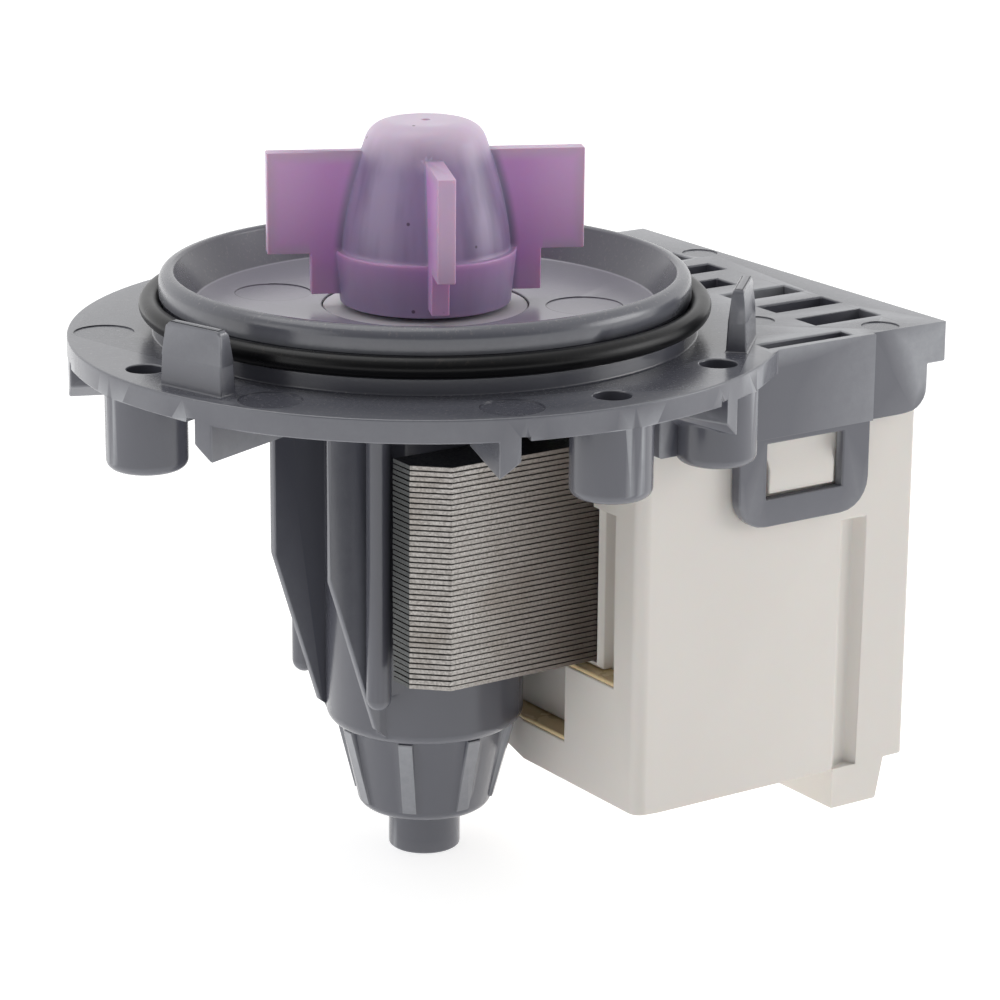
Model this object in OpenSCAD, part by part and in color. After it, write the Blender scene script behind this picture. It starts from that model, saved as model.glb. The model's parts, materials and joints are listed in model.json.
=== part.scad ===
// Washer drain pump with a permanent-magnet synchronous motor.
// Z runs up along the pump axis and z = 0 is the top face of the mounting flange.
// X runs from the axis towards the coil housing and its terminals.

/* [Flange] */
// Radius of the round mounting flange
flange_r = 42.5; // [41:0.25:45]
// Thickness of the flange and of the platform plate
flange_t = 2.75; // [2.25:0.25:3.5]
// Radius of the circle of screw holes
screw_circle_r = 37.8; // [37:0.1:38.4]
// Radius of a screw hole
screw_hole_r = 2.15; // [1.8:0.05:2.6]
// Depth of a screw hole below the flange face
screw_hole_depth = 10.2; // [8:0.1:10.6]
// Distance from the skirts' inner faces to the side screw holes
side_hole_out = 3.09; // [2.9:0.01:3.6]
// Outer radius of a screw boss
boss_r = 4.75; // [4:0.05:5]
// Length of a screw boss below the flange
boss_len = 8.85; // [8.6:0.05:12]
// Bottom rounding of a screw boss
boss_round = 1.2; // [0.4:0.1:2]
// Width of a bayonet lug
lug_w = 2.4; // [1.6:0.1:3.2]
// Depth of a bayonet lug at its tip, below the flange
lug_depth = 4.25; // [3:0.05:6]
// Depth of a bayonet lug on its slanted side
lug_short_depth = 2.4; // [1.5:0.1:2.9]
// Distance from the bowl floor's edge to the inner end of a lug
lug_start = 0.4; // [-1.5:0.1:8]
// Depth of the small notch beside each lug
lug_notch = 0.45; // [0.2:0.05:0.8]
// Length of a centring fin along the flange
fin_len = 9.4; // [8:0.1:12]
// Length of a centring fin at its top
fin_top_len = 8; // [4:0.1:9]
// Thickness of a centring fin at its base
fin_t = 2.45; // [2.2:0.1:3.6]
// Thickness of a centring fin at its top
fin_top_t = 1.15; // [1:0.1:2]
// Height of a centring fin
fin_h = 7.4; // [5:0.1:9]
// Distance of the fins outwards from the middle of the flange's free width
fin_shift = 0.1; // [-0.2:0.05:0.6]
// Radius of an ejector mark on the flange
ejector_r = 3.6; // [2:0.1:4]
// Radius of an ejector mark in the bowl
bowl_mark_r = 4.6; // [3:0.1:5]
// Radius of an ejector mark on the platform
platform_mark_r = 2.3; // [1.5:0.1:2.4]
// Depth of an ejector mark
ejector_depth = 0.12; // [0.05:0.01:0.3]

/* [Bowl] */
// Radius of the seat of the sealing ring
seal_seat_r = 31.4; // [30.8:0.1:31.6]
// Reach of the collar past the seat
collar_step = 0.9; // [0.7:0.05:1.6]
// Height of the collar
collar_h = 2; // [1.6:0.1:2.4]
// Reach of the rim past the seat
rim_lip = 0.2; // [0.1:0.05:0.5]
// Section diameter of the sealing ring
seal_section = 2.6; // [2.3:0.1:3]
// Height of the rim above the flange
rim_h = 7.45; // [6.8:0.05:8.6]
// Wall thickness of the rim at its top
rim_wall = 1.9; // [1.5:0.1:2.2]
// Height of the bowl floor above the flange
floor_z = 3; // [2.6:0.1:3.4]
// Thickness of the bowl floor
floor_t = 2.4; // [1.8:0.1:2.6]
// Distance from the seat in to the edge of the flat bowl floor
floor_inset = 3.8; // [3:0.1:5]
// Thickness of the stiffening ribs under the bowl
under_rib_t = 1.4; // [1:0.1:2]

/* [Can] */
// Outer radius of the rotor can
can_r = 12.1; // [12:0.05:12.3]
// Wall of the rotor can
can_wall = 0.9; // [0.7:0.05:1.1]
// Depth of the can's bottom edge below the flange face
can_bottom = 49.1; // [49:0.1:51]
// Bottom rounding of the can
can_round = 1.6; // [1:0.1:2.2]
// Radius of the mouth that takes the seal cap
mouth_r = 12.3; // [12.1:0.05:12.8]
// Depth of the mouth's shoulder below the flange face
mouth_depth = 3; // [2.6:0.1:4]
// Top radius of the nose cone
nose_top_r = 10.4; // [10:0.1:10.8]
// Bottom radius of the nose cone
nose_bottom_r = 8.3; // [8:0.1:9]
// Length of the nose cone
nose_len = 11.1; // [10.5:0.1:12]
// Bottom rounding of the nose cone
nose_round = 1.3; // [0.5:0.1:1.4]
// Radius of the tail pin
tail_r = 4.4; // [3:0.1:5]
// Length of the tail pin
tail_len = 5.6; // [3:0.1:8]
// Width of a nose rib
nose_rib_w = 1.7; // [1:0.1:2.4]
// Height of a nose rib above the cone
nose_rib_h = 0.8; // [0.3:0.1:1.2]
// Reach of the two side ribs from the axis
side_rib_x = 17.55; // [16:0.05:19]
// Height of the slanted lower part of a side rib
side_rib_slant = 21.8; // [16:0.1:26]
// Distance of each side rib from the middle plane
side_rib_y = 6.45; // [5:0.05:7]
// Thickness of a side rib
side_rib_t = 1; // [0.8:0.1:1.4]
// Radius of a core guide rail
rail_r = 1.5; // [1:0.1:1.6]
// Depth of the guide rails below the flange face
rail_bottom = 43.6; // [40:0.2:46]

/* [Platform] */
// Reach of the platform from the axis, with its end lip
platform_x = 54.9; // [54:0.1:58]
// Half width of the platform
platform_half_w = 31.4; // [31.2:0.1:33]
// Thickness of the platform's side skirts
skirt_t = 1.75; // [1.65:0.05:2]
// Depth of the platform's side skirts
skirt_depth = 10.7; // [9:0.1:12]
// Where the thicker part of the side skirts ends
skirt_step_x = 43.5; // [43.3:0.1:46]
// Step between the two parts of a side skirt
skirt_step = 0.5; // [0.2:0.1:0.7]
// Length of the end lip past the side skirts
lip_len = 2.7; // [1:0.1:3]
// Depth of the end lip
lip_depth = 5; // [3.5:0.1:6]
// Rounding of the skirt's lower end corner
skirt_round = 2.8; // [1:0.1:5]
// Length of a platform slot
slot_len = 9.9; // [8:0.1:10.5]
// Width of a platform slot
slot_w = 3.9; // [2.5:0.1:4.5]
// Spacing of the platform slots
slot_pitch = 7.43; // [6.5:0.01:8]
// Inner end of the platform slots
slot_x = 40.1; // [39:0.1:41]
// Length missing from the short slot
slot_short = 4.9; // [2:0.1:6]
// Length missing from the two slots behind it
slot_trim = 0.7; // [0:0.1:1.5]
// Length of the narrow slots beside the skirts
edge_slot_len = 12.6; // [8:0.1:13]
// Width of the narrow slots beside the skirts
edge_slot_w = 2.2; // [1.6:0.1:2.4]
// Distance of the narrow slots from the platform's edge
edge_slot_in = 1.2; // [1:0.1:1.6]
// Outer width of a loop clip
loop_w = 19.6; // [17:0.1:20]
// Depth of a loop clip's lower edge
loop_depth = 21.6; // [20:0.1:24]
// Width of a loop clip's window
window_w = 11.5; // [9:0.1:12.5]
// Height of a loop clip's window
window_h = 6.8; // [5:0.1:7.5]
// Outer corner rounding of a loop clip
loop_round = 4; // [1:0.5:5]

/* [Rotor] */
// Radius of the rotor shaft
shaft_r = 2.5; // [2:0.1:3]
// Height of the shaft's upper end above the flange face
shaft_top = 20.5; // [18.5:0.1:21]
// Radius of the rotor magnet
magnet_r = 10.6; // [9.5:0.1:10.8]
// Bore radius of the rotor magnet
magnet_bore_r = 6; // [5:0.1:7]
// Length of the magnet past each end of the core
magnet_overhang = 0.9; // [0:0.1:2]
// Thickness of the carrier's end discs
carrier_disc_t = 1.5; // [1:0.1:2]
// Thickness of a thrust washer
washer_t = 0.8; // [0.4:0.1:1.2]
// Radial running clearance of the shaft
run_gap = 0.05; // [0.02:0.01:0.08]
// Length of the front bearing
front_bearing_len = 5.2; // [4:0.1:6]
// Outer radius of the front bearing
front_bearing_r = 5.2; // [4:0.1:6]
// Length of the rear bearing
rear_bearing_len = 7; // [5:0.1:7.4]
// Outer radius of the rear bearing
rear_bearing_r = 4.6; // [3.6:0.1:5]
// Wall of the rear bearing's rubber
rear_rubber_wall = 1.9; // [1.2:0.1:2]
// Radius of the shaft seal
shaft_seal_r = 8; // [6.5:0.1:9]
// Thickness of the shaft seal
shaft_seal_t = 1.9; // [1.2:0.1:2]

/* [Impeller] */
// Radius of the impeller blades
blade_r = 18.85; // [17:0.05:20]
// Thickness of a blade
blade_t = 2.1; // [1.5:0.1:2.6]
// Height of the blades' top edge above the flange face
blade_top = 21.5; // [20:0.1:23]
// Height of the step in the blades' lower edge
blade_step = 9.45; // [8:0.05:12]
// Radius of the blades below the step
blade_foot_r = 13.7; // [12:0.1:15]
// Height of the blades' lowest edge
blade_foot = 4.55; // [4:0.05:6]
// Angle of the first blade at rest
blade_turn = -25.5; // [-45:0.5:45]
// Height of the hub's top above the flange face
hub_top = 25; // [24.4:0.1:28]
// Radius of the flat on the hub's top
hub_flat_r = 3.5; // [1:0.1:4]
// Height of the rounded shoulder below the hub's top
hub_shoulder = 2; // [0.8:0.1:2.5]
// Radius of the hub where the shoulder starts
hub_shoulder_r = 7.1; // [5.5:0.1:7.5]
// Radius of the hub dome at its foot
hub_r = 10.05; // [9.8:0.05:10.4]
// Radius of the hub skirt's upper edge
hub_skirt_r = 10.75; // [10.5:0.05:11.2]
// Radius of the hub skirt at its bottom
hub_foot_r = 10.15; // [9.9:0.05:10.4]
// Height of the hub skirt's upper edge
hub_skirt_top = 9.7; // [9:0.1:11]
// Height of the hub's bottom edge
hub_bottom = 3.4; // [2.7:0.1:3.4]
// Radius of the hub's inner chamber
hub_bore_r = 8.3; // [7.8:0.1:8.6]
// Height of the chamber's ceiling
hub_ceiling = 17; // [16.5:0.1:17.4]
// Length of the hub bush
bush_len = 5.4; // [4:0.1:5.6]
// Angle that each clutch dog fills
dog_angle = 40; // [25:1:50]
// Angle that each rubber bumper pad fills
bumper_angle = 12; // [6:1:16]

/* [Motor] */
// Depth of the core's top below the flange face
core_top = 11.32; // [11:0.02:12]
// Number of laminations in the core
laminations = 42; // [30:1:54]
// Height of the core
core_h = 27.4; // [24:0.1:28]
// Width of a core leg
leg_w = 9.3; // [9:0.1:10.5]
// Reach of the legs past the axis
leg_reach = 12.45; // [11.6:0.05:14]
// Reach of the back leg, which is the shorter one
back_leg_reach = 8.8; // [7:0.1:11]
// Chamfer of a leg's outer corner along the leg
leg_chamfer_x = 3.6; // [1:0.1:4]
// Chamfer of a leg's outer corner across the leg
leg_chamfer_y = 3.4; // [1:0.1:4.5]
// Air gap between the can and the poles
pole_gap = 0.3; // [0.2:0.05:0.6]
// Width of the core's yoke
yoke_w = 8; // [6:0.5:8.5]
// Outer face of the yoke from the axis
yoke_x = 48.4; // [47:0.1:48.8]
// Depth of the fine grooves between laminations
lamination_groove = 0.25; // [0.1:0.05:0.4]
// Width of the fine grooves between laminations
groove_w = 0.12; // [0.06:0.02:0.2]
// Radius of a core rivet
rivet_r = 0.9; // [0.6:0.1:1.4]
// Distance of the rivets from the core's sides
rivet_in = 3.6; // [3:0.1:4.4]
// Distance of the front rivets from the axis, away from the yoke
rivet_back = 4.5; // [3:0.5:7]

/* [Coil housing] */
// Front face of the coil housing from the axis
house_x0 = 10.8; // [10.6:0.1:11.4]
// Rear face of the coil housing from the axis
house_x1 = 51.8; // [51:0.1:51.8]
// Depth of the coil housing's bottom
house_bottom = 55.3; // [54:0.1:58]
// Depth of the coil housing's top edge
house_top = 3.2; // [3:0.1:4]
// Wall of the coil housing
house_wall = 2; // [1.6:0.1:2.2]
// Corner rounding of the coil housing
house_round = 1.6; // [0.5:0.1:2.5]
// Depth of the foot's end below the housing
foot_h = 5.2; // [3:0.1:8]
// Length of each foot from the side face inwards
foot_len = 12; // [10:0.5:18]
// Width of a foot at its end
foot_w = 7.1; // [4:0.1:8]
// Slope of a foot's rear side
foot_slope = 1.1; // [0:0.1:2]
// Wall of the bobbin's tube and flanges
bobbin_wall = 0.8; // [0.6:0.05:1]
// Clearance of the bobbin on the core
bobbin_gap = 0.15; // [0.1:0.05:0.3]
// Thickness of the winding
winding_t = 3.9; // [3:0.1:4]
// Height of the bobbin's flange past the winding
flange_lip = 0.9; // [0.6:0.1:1]
// Room between a bobbin's flange and the housing's side wall
coil_room = 2.35; // [1.6:0.05:2.9]
// Width of a terminal blade
blade_w = 6.3; // [4.8:0.1:6.3]
// Thickness of a terminal blade
terminal_t = 0.8; // [0.5:0.1:0.8]
// Length of a terminal blade outside the housing
terminal_out = 7.7; // [6:0.1:10]
// Distance of each terminal from the middle of its coil, inwards
terminal_in = 5.75; // [0:0.05:8]
// Clearance between parts that fit inside one another
fit_gap = 0.15; // [0.1:0.05:0.2]

/* [Hidden] */
$fn = 72;

// Overlap that makes joined shapes of one piece merge
join = 0.05;
// The rim, the collar and the bowl follow the seat of the sealing ring
rim_r = seal_seat_r + rim_lip;
collar_r = seal_seat_r + collar_step;
floor_r = seal_seat_r - floor_inset;
lug_inner_r = floor_r + lug_start;
fin_r = (seal_seat_r + seal_section + flange_r) / 2 + fin_shift;
// The skirts close round the coil housing, and the side screw holes stand clear of it
skirt_inner_w = platform_half_w - skirt_t;
house_half_w = skirt_inner_w - fit_gap;
// The coils fill the housing's width, so the core follows it
coil_t = bobbin_gap + bobbin_wall + winding_t + flange_lip;
core_half_w = house_half_w - house_wall - coil_room - coil_t;
skirt_end_x = platform_x - lip_len;
side_hole_angle = asin((skirt_inner_w + side_hole_out) / screw_circle_r);
// Screw holes, bayonet lugs and fins by angle; the last lug value says which side holds the
// tip, and the last fin value how far the fin stands out from the others' circle
hole_angles = [180, -89.5, 89.5, -side_hole_angle, side_hole_angle];
lug_angles = [[-158.1, 1], [-110.2, -1], [-67.7, 1], [158.1, -1], [110.2, 1], [67.7, -1]];
fin_places = [[-163.4, 0.5], [-44.8, -0.5], [76.6, 0]];
ejector_angles = [-149.4, -108.4, 108.4, 151.9];
bowl_mark_angles = [132, -37, 47, -142];
platform_marks = [[35.4, 18.5], [35.4, -18.5], [46.4, 28.6], [46.4, -28.6], [52.1, 14.9]];
// The rear bearing sits in the nose, in its rubber
nose_bore_r = rear_bearing_r + rear_rubber_wall;
nose_bottom = can_bottom + nose_len;
nose_floor_t = 3.5;
rear_bearing_bottom = nose_bottom - nose_floor_t;
rear_bearing_top = rear_bearing_bottom - rear_bearing_len;
bearing_seat = 0.5;
can_inner_r = can_r - can_wall;
can_floor_t = 1.4;
can_floor = can_bottom - can_floor_t;
// The loop clips hang below the thicker part of the skirts, a little behind their face
loop_recess = 0.2;
loop_x0 = skirt_step_x - loop_recess - loop_w;
window_x0 = loop_x0 + (loop_w - window_w) / 2;
window_top = skirt_depth + 0.7;
window_bottom = window_top + window_h;
// Levels on the shaft, from the front bearing down
cap_top = hub_bottom - 0.6;
seal_bottom = 0.6;
front_bearing_top = seal_bottom + 0.2;
front_bearing_bottom = front_bearing_top + front_bearing_len;
holder_bottom = front_bearing_bottom + 0.3;
magnet_top = core_top - magnet_overhang;
magnet_bottom = core_top + core_h + magnet_overhang;
washer_gap = 0.1;
// The clutch sits in the hub's chamber, above the bush
bush_bottom = hub_bottom + 0.5;
driver_bottom = bush_bottom + bush_len + 0.3;
driver_top = hub_ceiling - 0.5;
driver_hub_r = shaft_r + 2;
dog_inner_r = driver_hub_r + 0.4;
// Rivets through the legs' poles and the yoke
back_leg_rivet = rivet_back - leg_reach + back_leg_reach;
rivet_places = [
    for (at = [[-rivet_back, -1], [-back_leg_rivet, 1], [yoke_x - yoke_w / 2, -1], [yoke_x - yoke_w / 2, 1]])
        [at[0], at[1] * (core_half_w - rivet_in)]
];
// The bobbins fit on the legs, and the windings on the bobbins
leg_in_y = core_half_w - leg_w;
leg_mid_y = core_half_w - leg_w / 2;
core_mid_z = core_top + core_h / 2;
tube_half_y = leg_w / 2 + bobbin_gap + bobbin_wall;
tube_half_z = core_h / 2 + bobbin_gap + bobbin_wall;
bobbin_flange_x = house_x0 + 3;
bobbin_front_x = house_x0 + 1.05;
bobbin_rear_x = yoke_x - yoke_w - fit_gap;
// The window in the housing's front wall
mouth_half_y = core_half_w + 0.35;
pocket_half_y = core_half_w + 5;
pocket_bottom = core_top + core_h + bobbin_gap + bobbin_wall + fit_gap;
pocket_top = core_top + 7.9;
relief_half_y = core_half_w - 5;
ledge_t = 0.6;
relief_bottom = house_bottom - 5.7;
bobbin_foot = relief_bottom - fit_gap;
// Each side face has a groove above its foot
groove_x = 40.7;
groove_top = 23.3;
// Terminal blades pass over the yoke
terminal_y = leg_mid_y - terminal_in;
terminal_z = core_top - 2.9 - terminal_t / 2;
terminal_x1 = house_x1 + terminal_out;

function arc(cx, cy, r, a0, a1, steps = 6) =
    [for (i = [0:steps]) let (a = a0 + (a1 - a0) * i / steps) [cx + r * cos(a), cy + r * sin(a)]];

// Point of a curve that leaves a towards b and arrives at c from b
function bend(a, b, c, t) = (1 - t) * (1 - t) * a + 2 * t * (1 - t) * b + t * t * c;

// Outline of the hub: a flat top, a rounded shoulder and a side that steepens towards its foot
function dome(steps = 10) =
    let (side_z = hub_top - hub_shoulder,
        corner = [hub_shoulder_r - 0.4 * hub_shoulder, hub_top])
    concat(
        [for (i = [0:steps]) bend([hub_flat_r, hub_top], corner, [hub_shoulder_r, side_z], i / steps)],
        [for (i = [1:steps]) let (t = 1 - i / steps)
            [hub_r - (hub_r - hub_shoulder_r) * pow(t, 1.55), hub_skirt_top + (side_z - hub_skirt_top) * t]]
    );

// Ring about the pump axis between two levels, counted up from the flange face
module ring(r_out, r_in, z0, z1) {
    difference() {
        translate([0, 0, z0]) cylinder(r = r_out, h = z1 - z0);
        translate([0, 0, z0 - 1]) cylinder(r = r_in, h = z1 - z0 + 2);
    }
}

// Box given by its two corners
module block(a, b) {
    translate(a) cube([b[0] - a[0], b[1] - a[1], b[2] - a[2]]);
}

// Plate in the X-Z plane, centred on y, with a given thickness
module side_plate(points, y, t) {
    translate([0, y + t / 2, 0]) rotate([90, 0, 0]) linear_extrude(t) polygon(points);
}

// Ring sector about the pump axis
module sector(r_in, r_out, z0, z1, angle, turn) {
    translate([0, 0, z0]) rotate([0, 0, turn - angle / 2]) rotate_extrude(angle = angle)
        translate([r_in, 0]) square([r_out - r_in, z1 - z0]);
}

module mirrored_y() {
    children();
    mirror([0, 1, 0]) children();
}

// Housing: flange, bowl, can, platform and clips are one moulding
module bowl() {
    inner_top_r = rim_r - rim_wall;
    outer_round = 0.72 * rim_wall;
    inner_round = rim_wall - outer_round;
    neck_z = collar_h + seal_section - 0.15;
    rotate_extrude() polygon(concat(
        [[mouth_r, floor_z], [floor_r, floor_z], [inner_top_r, rim_h - inner_round]],
        arc(inner_top_r + inner_round, rim_h - inner_round, inner_round, 180, 90, 4),
        arc(rim_r - outer_round, rim_h - outer_round, outer_round, 90, 0, 6),
        [[rim_r, neck_z], [seal_seat_r, neck_z], [seal_seat_r, collar_h], [collar_r, collar_h]],
        [[collar_r, -flange_t], [floor_r + 1.6, -flange_t], [floor_r + 1.6, floor_z - floor_t]],
        [[mouth_r, floor_z - floor_t]]
    ));
}

module plates() {
    ring(flange_r, floor_r + 1, -flange_t, 0);
    difference() {
        union() {
            block([0, -platform_half_w, -flange_t], [skirt_step_x, platform_half_w, 0]);
            block([skirt_step_x - join, -platform_half_w + skirt_step, -flange_t],
                [platform_x, platform_half_w - skirt_step, 0]);
        }
        translate([0, 0, -flange_t - 1]) cylinder(r = collar_r - 1, h = flange_t + 2);
    }
}

module can_outside() {
    rotate_extrude() polygon(concat(
        [[0, floor_z - 0.5], [mouth_r + 1.1, floor_z - 0.5], [mouth_r + 1.1, -mouth_depth - 0.6]],
        [[can_r, -mouth_depth - 2]],
        arc(can_r - can_round, -can_bottom + can_round, can_round, 0, -90),
        [[nose_top_r, -can_bottom]],
        arc(nose_bottom_r - nose_round, -nose_bottom + nose_round, nose_round, 0, -90),
        [[tail_r, -nose_bottom]],
        arc(tail_r - 0.3, -nose_bottom - tail_len + 0.3, 0.3, 0, -90, 3),
        [[0, -nose_bottom - tail_len]]
    ));
    for (a = [0:45:315]) rotate([0, 0, a]) nose_rib();
}

module nose_rib() {
    side_plate([
        [nose_bottom_r - 1.5, -nose_bottom + nose_round],
        [nose_bottom_r + nose_rib_h * 0.4, -nose_bottom + nose_round],
        [nose_top_r + nose_rib_h, -can_bottom],
        [nose_top_r - 1.5, -can_bottom + 0.1]
    ], 0, nose_rib_w);
}

module can_inside() {
    translate([0, 0, -mouth_depth]) cylinder(r = mouth_r, h = mouth_depth + floor_z + 1);
    translate([0, 0, -can_floor]) cylinder(r = can_inner_r, h = can_floor - mouth_depth + join);
    translate([0, 0, -rear_bearing_bottom])
        cylinder(r = nose_bore_r, h = rear_bearing_bottom - can_floor + join);
}

module side_ribs() {
    mirrored_y() side_plate([
        [-can_r + 2.4, floor_z - floor_t + join],
        [-side_rib_x, floor_z - floor_t + join],
        [-side_rib_x, -can_bottom + side_rib_slant],
        [-can_r + 0.7, -can_bottom + 2.4],
        [-can_r + 2.9, -can_bottom + 0.6],
        [-can_r + 2.4, -can_bottom + 2]
    ], side_rib_y, side_rib_t);
}

module guide_rails() {
    rail_x = -can_r + 0.1;
    rail_y = can_r * 0.71;
    rail_z = -rail_bottom + rail_r;
    rail_top = floor_z - floor_t + join;
    mirrored_y() {
        translate([rail_x, rail_y, rail_z]) {
            cylinder(r = rail_r, h = rail_top - rail_z);
            sphere(r = rail_r);
        }
        block([rail_x, rail_y - rail_r, rail_z], [-can_r * 0.55, rail_y, rail_top]);
    }
}

module under_ribs() {
    for (a = [0:45:315]) rotate([0, 0, a + 22.5])
        block([mouth_r + 0.5, -under_rib_t / 2, -flange_t],
            [floor_r + 2, under_rib_t / 2, floor_z - floor_t + join]);
}

module screw_boss() {
    rotate_extrude() polygon(concat(
        [[0, -flange_t + join], [boss_r, -flange_t + join]],
        arc(boss_r - boss_round, -flange_t - boss_len + boss_round, boss_round, 0, -90),
        [[0, -flange_t - boss_len]]
    ));
}

module screw_hole() {
    translate([0, 0, -screw_hole_depth]) cylinder(r = screw_hole_r, h = screw_hole_depth + 1);
}

// A lug is a radial rib whose lower edge slants across its width
module lug(tip) {
    half = lug_w / 2;
    rotate([90, 0, 90]) translate([0, 0, lug_inner_r]) linear_extrude(flange_r - lug_inner_r + 1)
        polygon([
            [-half * tip, -flange_t + join], [half * tip, -flange_t + join],
            [half * tip, -flange_t - lug_depth], [-half * tip, -flange_t - lug_short_depth]
        ]);
}

module lug_cut(tip) {
    notch_w = 1.1;
    notch_len = 4;
    y0 = tip > 0 ? -lug_w / 2 - notch_w : lug_w / 2;
    block([flange_r - notch_len, y0, -flange_t - 1], [flange_r + 1, y0 + notch_w, -flange_t + lug_notch]);
}

// Upright outline that tapers more towards its top, with a small chamfer there
function fin_outline(base, top, chamfer) = [
    [-base / 2, -join], [base / 2, -join], [base / 2 - 0.15, fin_h * 0.45],
    [top / 2 + chamfer / 3, fin_h - chamfer], [top / 2 - chamfer, fin_h],
    [chamfer - top / 2, fin_h], [-top / 2 - chamfer / 3, fin_h - chamfer], [0.15 - base / 2, fin_h * 0.45]
];

module fin(shift) {
    translate([fin_r + shift, 0, 0]) intersection() {
        rotate([90, 0, 90]) translate([0, 0, -fin_t]) linear_extrude(2 * fin_t)
            polygon(fin_outline(fin_len, fin_top_len, 0.5));
        side_plate(fin_outline(fin_t, fin_top_t, 0.25), 0, fin_len + 2);
    }
}

module skirts() {
    front_x = house_x0 + 1;
    end_bottom = -skirt_depth;
    end_t = skirt_t - skirt_step;
    mirrored_y() {
        block([front_x, skirt_inner_w, -skirt_depth], [skirt_step_x, platform_half_w, -flange_t + join]);
        side_plate(concat(
            [[skirt_step_x - join, -flange_t + join], [skirt_step_x - join, end_bottom]],
            arc(skirt_end_x - skirt_round, end_bottom + skirt_round, skirt_round, -90, 0),
            [[skirt_end_x, -flange_t + join]]
        ), skirt_inner_w + end_t / 2, end_t);
    }
    block([skirt_end_x, -platform_half_w + skirt_step, -lip_depth],
        [platform_x, platform_half_w - skirt_step, -flange_t + join]);
}

module loop_clip() {
    loop_t = skirt_t - loop_recess;
    difference() {
        side_plate(concat(
            [[loop_x0, -skirt_depth + join], [loop_x0, -loop_depth + loop_round]],
            arc(loop_x0 + loop_round, -loop_depth + loop_round, loop_round, 180, 270),
            arc(loop_x0 + loop_w - loop_round, -loop_depth + loop_round, loop_round, 270, 360),
            [[loop_x0 + loop_w, -skirt_depth + join]]
        ), skirt_inner_w + loop_t / 2, loop_t);
        block([window_x0, skirt_inner_w - 1, -window_bottom],
            [window_x0 + window_w, platform_half_w + 1, -window_top]);
    }
}

module platform_slots() {
    for (i = [-3:2]) {
        missing = i == 0 ? slot_short : i > 0 ? slot_trim : 0;
        block([slot_x, i * slot_pitch - slot_w / 2, -flange_t - 1],
            [slot_x + slot_len - missing, i * slot_pitch + slot_w / 2, 1]);
    }
    edge_slot_x = slot_x + 0.7;
    edge_slot_y = platform_half_w - edge_slot_in;
    mirrored_y() block([edge_slot_x - edge_slot_len, edge_slot_y - edge_slot_w, -flange_t - 1],
        [edge_slot_x, edge_slot_y, 1]);
}

// Space under the platform that the coil housing fills
module motor_pocket() {
    block([house_x0 - fit_gap, -skirt_inner_w, -house_bottom], [skirt_end_x, skirt_inner_w, -flange_t]);
}

module shallow_mark(x, y, z, r) {
    translate([x, y, z - ejector_depth]) cylinder(r = r, h = 1);
}

module pump_housing() {
    color("slategray") difference() {
        union() {
            bowl();
            plates();
            can_outside();
            side_ribs();
            guide_rails();
            under_ribs();
            skirts();
            mirrored_y() loop_clip();
            difference() {
                union() {
                    intersection() {
                        translate([0, 0, -flange_t - lug_depth - 1])
                            cylinder(r = flange_r, h = flange_t + lug_depth + 1);
                        for (l = lug_angles) rotate([0, 0, l[0]]) lug(l[1]);
                    }
                    for (a = hole_angles) rotate([0, 0, a]) translate([screw_circle_r, 0, 0]) screw_boss();
                }
                motor_pocket();
            }
            for (f = fin_places) rotate([0, 0, f[0]]) fin(f[1]);
        }
        can_inside();
        platform_slots();
        for (a = hole_angles) rotate([0, 0, a]) translate([screw_circle_r, 0, 0]) screw_hole();
        for (l = lug_angles) rotate([0, 0, l[0]]) lug_cut(l[1]);
        for (a = ejector_angles) rotate([0, 0, a]) shallow_mark(screw_circle_r + 0.3, 0, 0, ejector_r);
        for (a = bowl_mark_angles) rotate([0, 0, a])
            shallow_mark((mouth_r + floor_r) / 2 - 1, 0, floor_z, bowl_mark_r);
        for (p = platform_marks) shallow_mark(p[0], p[1], 0, platform_mark_r);
    }
}

module o_ring() {
    color("black") rotate_extrude() translate([seal_seat_r + seal_section / 2, collar_h + seal_section / 2])
        circle(d = seal_section - 0.02);
}

// Seal and bearings, from the bowl floor down
module seal_cap() {
    color("gray") difference() {
        translate([0, 0, -seal_bottom]) cylinder(r = mouth_r - fit_gap / 2, h = seal_bottom + cap_top);
        translate([0, 0, -seal_bottom - 1]) cylinder(r = shaft_seal_r + fit_gap / 2, h = shaft_seal_t + 1);
        translate([0, 0, -1]) cylinder(r = shaft_r + 1.5, h = cap_top + 2);
    }
}

module shaft_seal() {
    color("dimgray") difference() {
        ring(shaft_seal_r, shaft_r + run_gap, -seal_bottom, -seal_bottom + shaft_seal_t);
        ring(shaft_seal_r - 1.4, shaft_r + 0.9, -seal_bottom - 1, -seal_bottom + shaft_seal_t / 2);
    }
}

module bearing_holder() {
    holder_hole_r = 1.6;
    color("ivory") difference() {
        union() {
            translate([0, 0, -mouth_depth])
                cylinder(r = mouth_r - fit_gap / 2, h = mouth_depth - seal_bottom);
            translate([0, 0, -holder_bottom])
                cylinder(r = can_inner_r - fit_gap / 2, h = holder_bottom - mouth_depth + join);
        }
        translate([0, 0, -front_bearing_bottom]) cylinder(r = front_bearing_r, h = front_bearing_bottom + 1);
        translate([0, 0, -front_bearing_bottom - 1]) cylinder(r = front_bearing_r - 0.8, h = 2);
        for (a = [0:60:300]) rotate([0, 0, a])
            translate([(front_bearing_r + can_inner_r) / 2, 0, -front_bearing_bottom - 1])
                cylinder(r = holder_hole_r, h = front_bearing_bottom);
    }
}

module front_bearing() {
    color("darkgray") ring(front_bearing_r, shaft_r + run_gap, -front_bearing_bottom, -front_bearing_top);
}

module rear_bearing() {
    color("darkgray")
        ring(rear_bearing_r, shaft_r + run_gap, -rear_bearing_bottom + bearing_seat, -rear_bearing_top);
}

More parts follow.
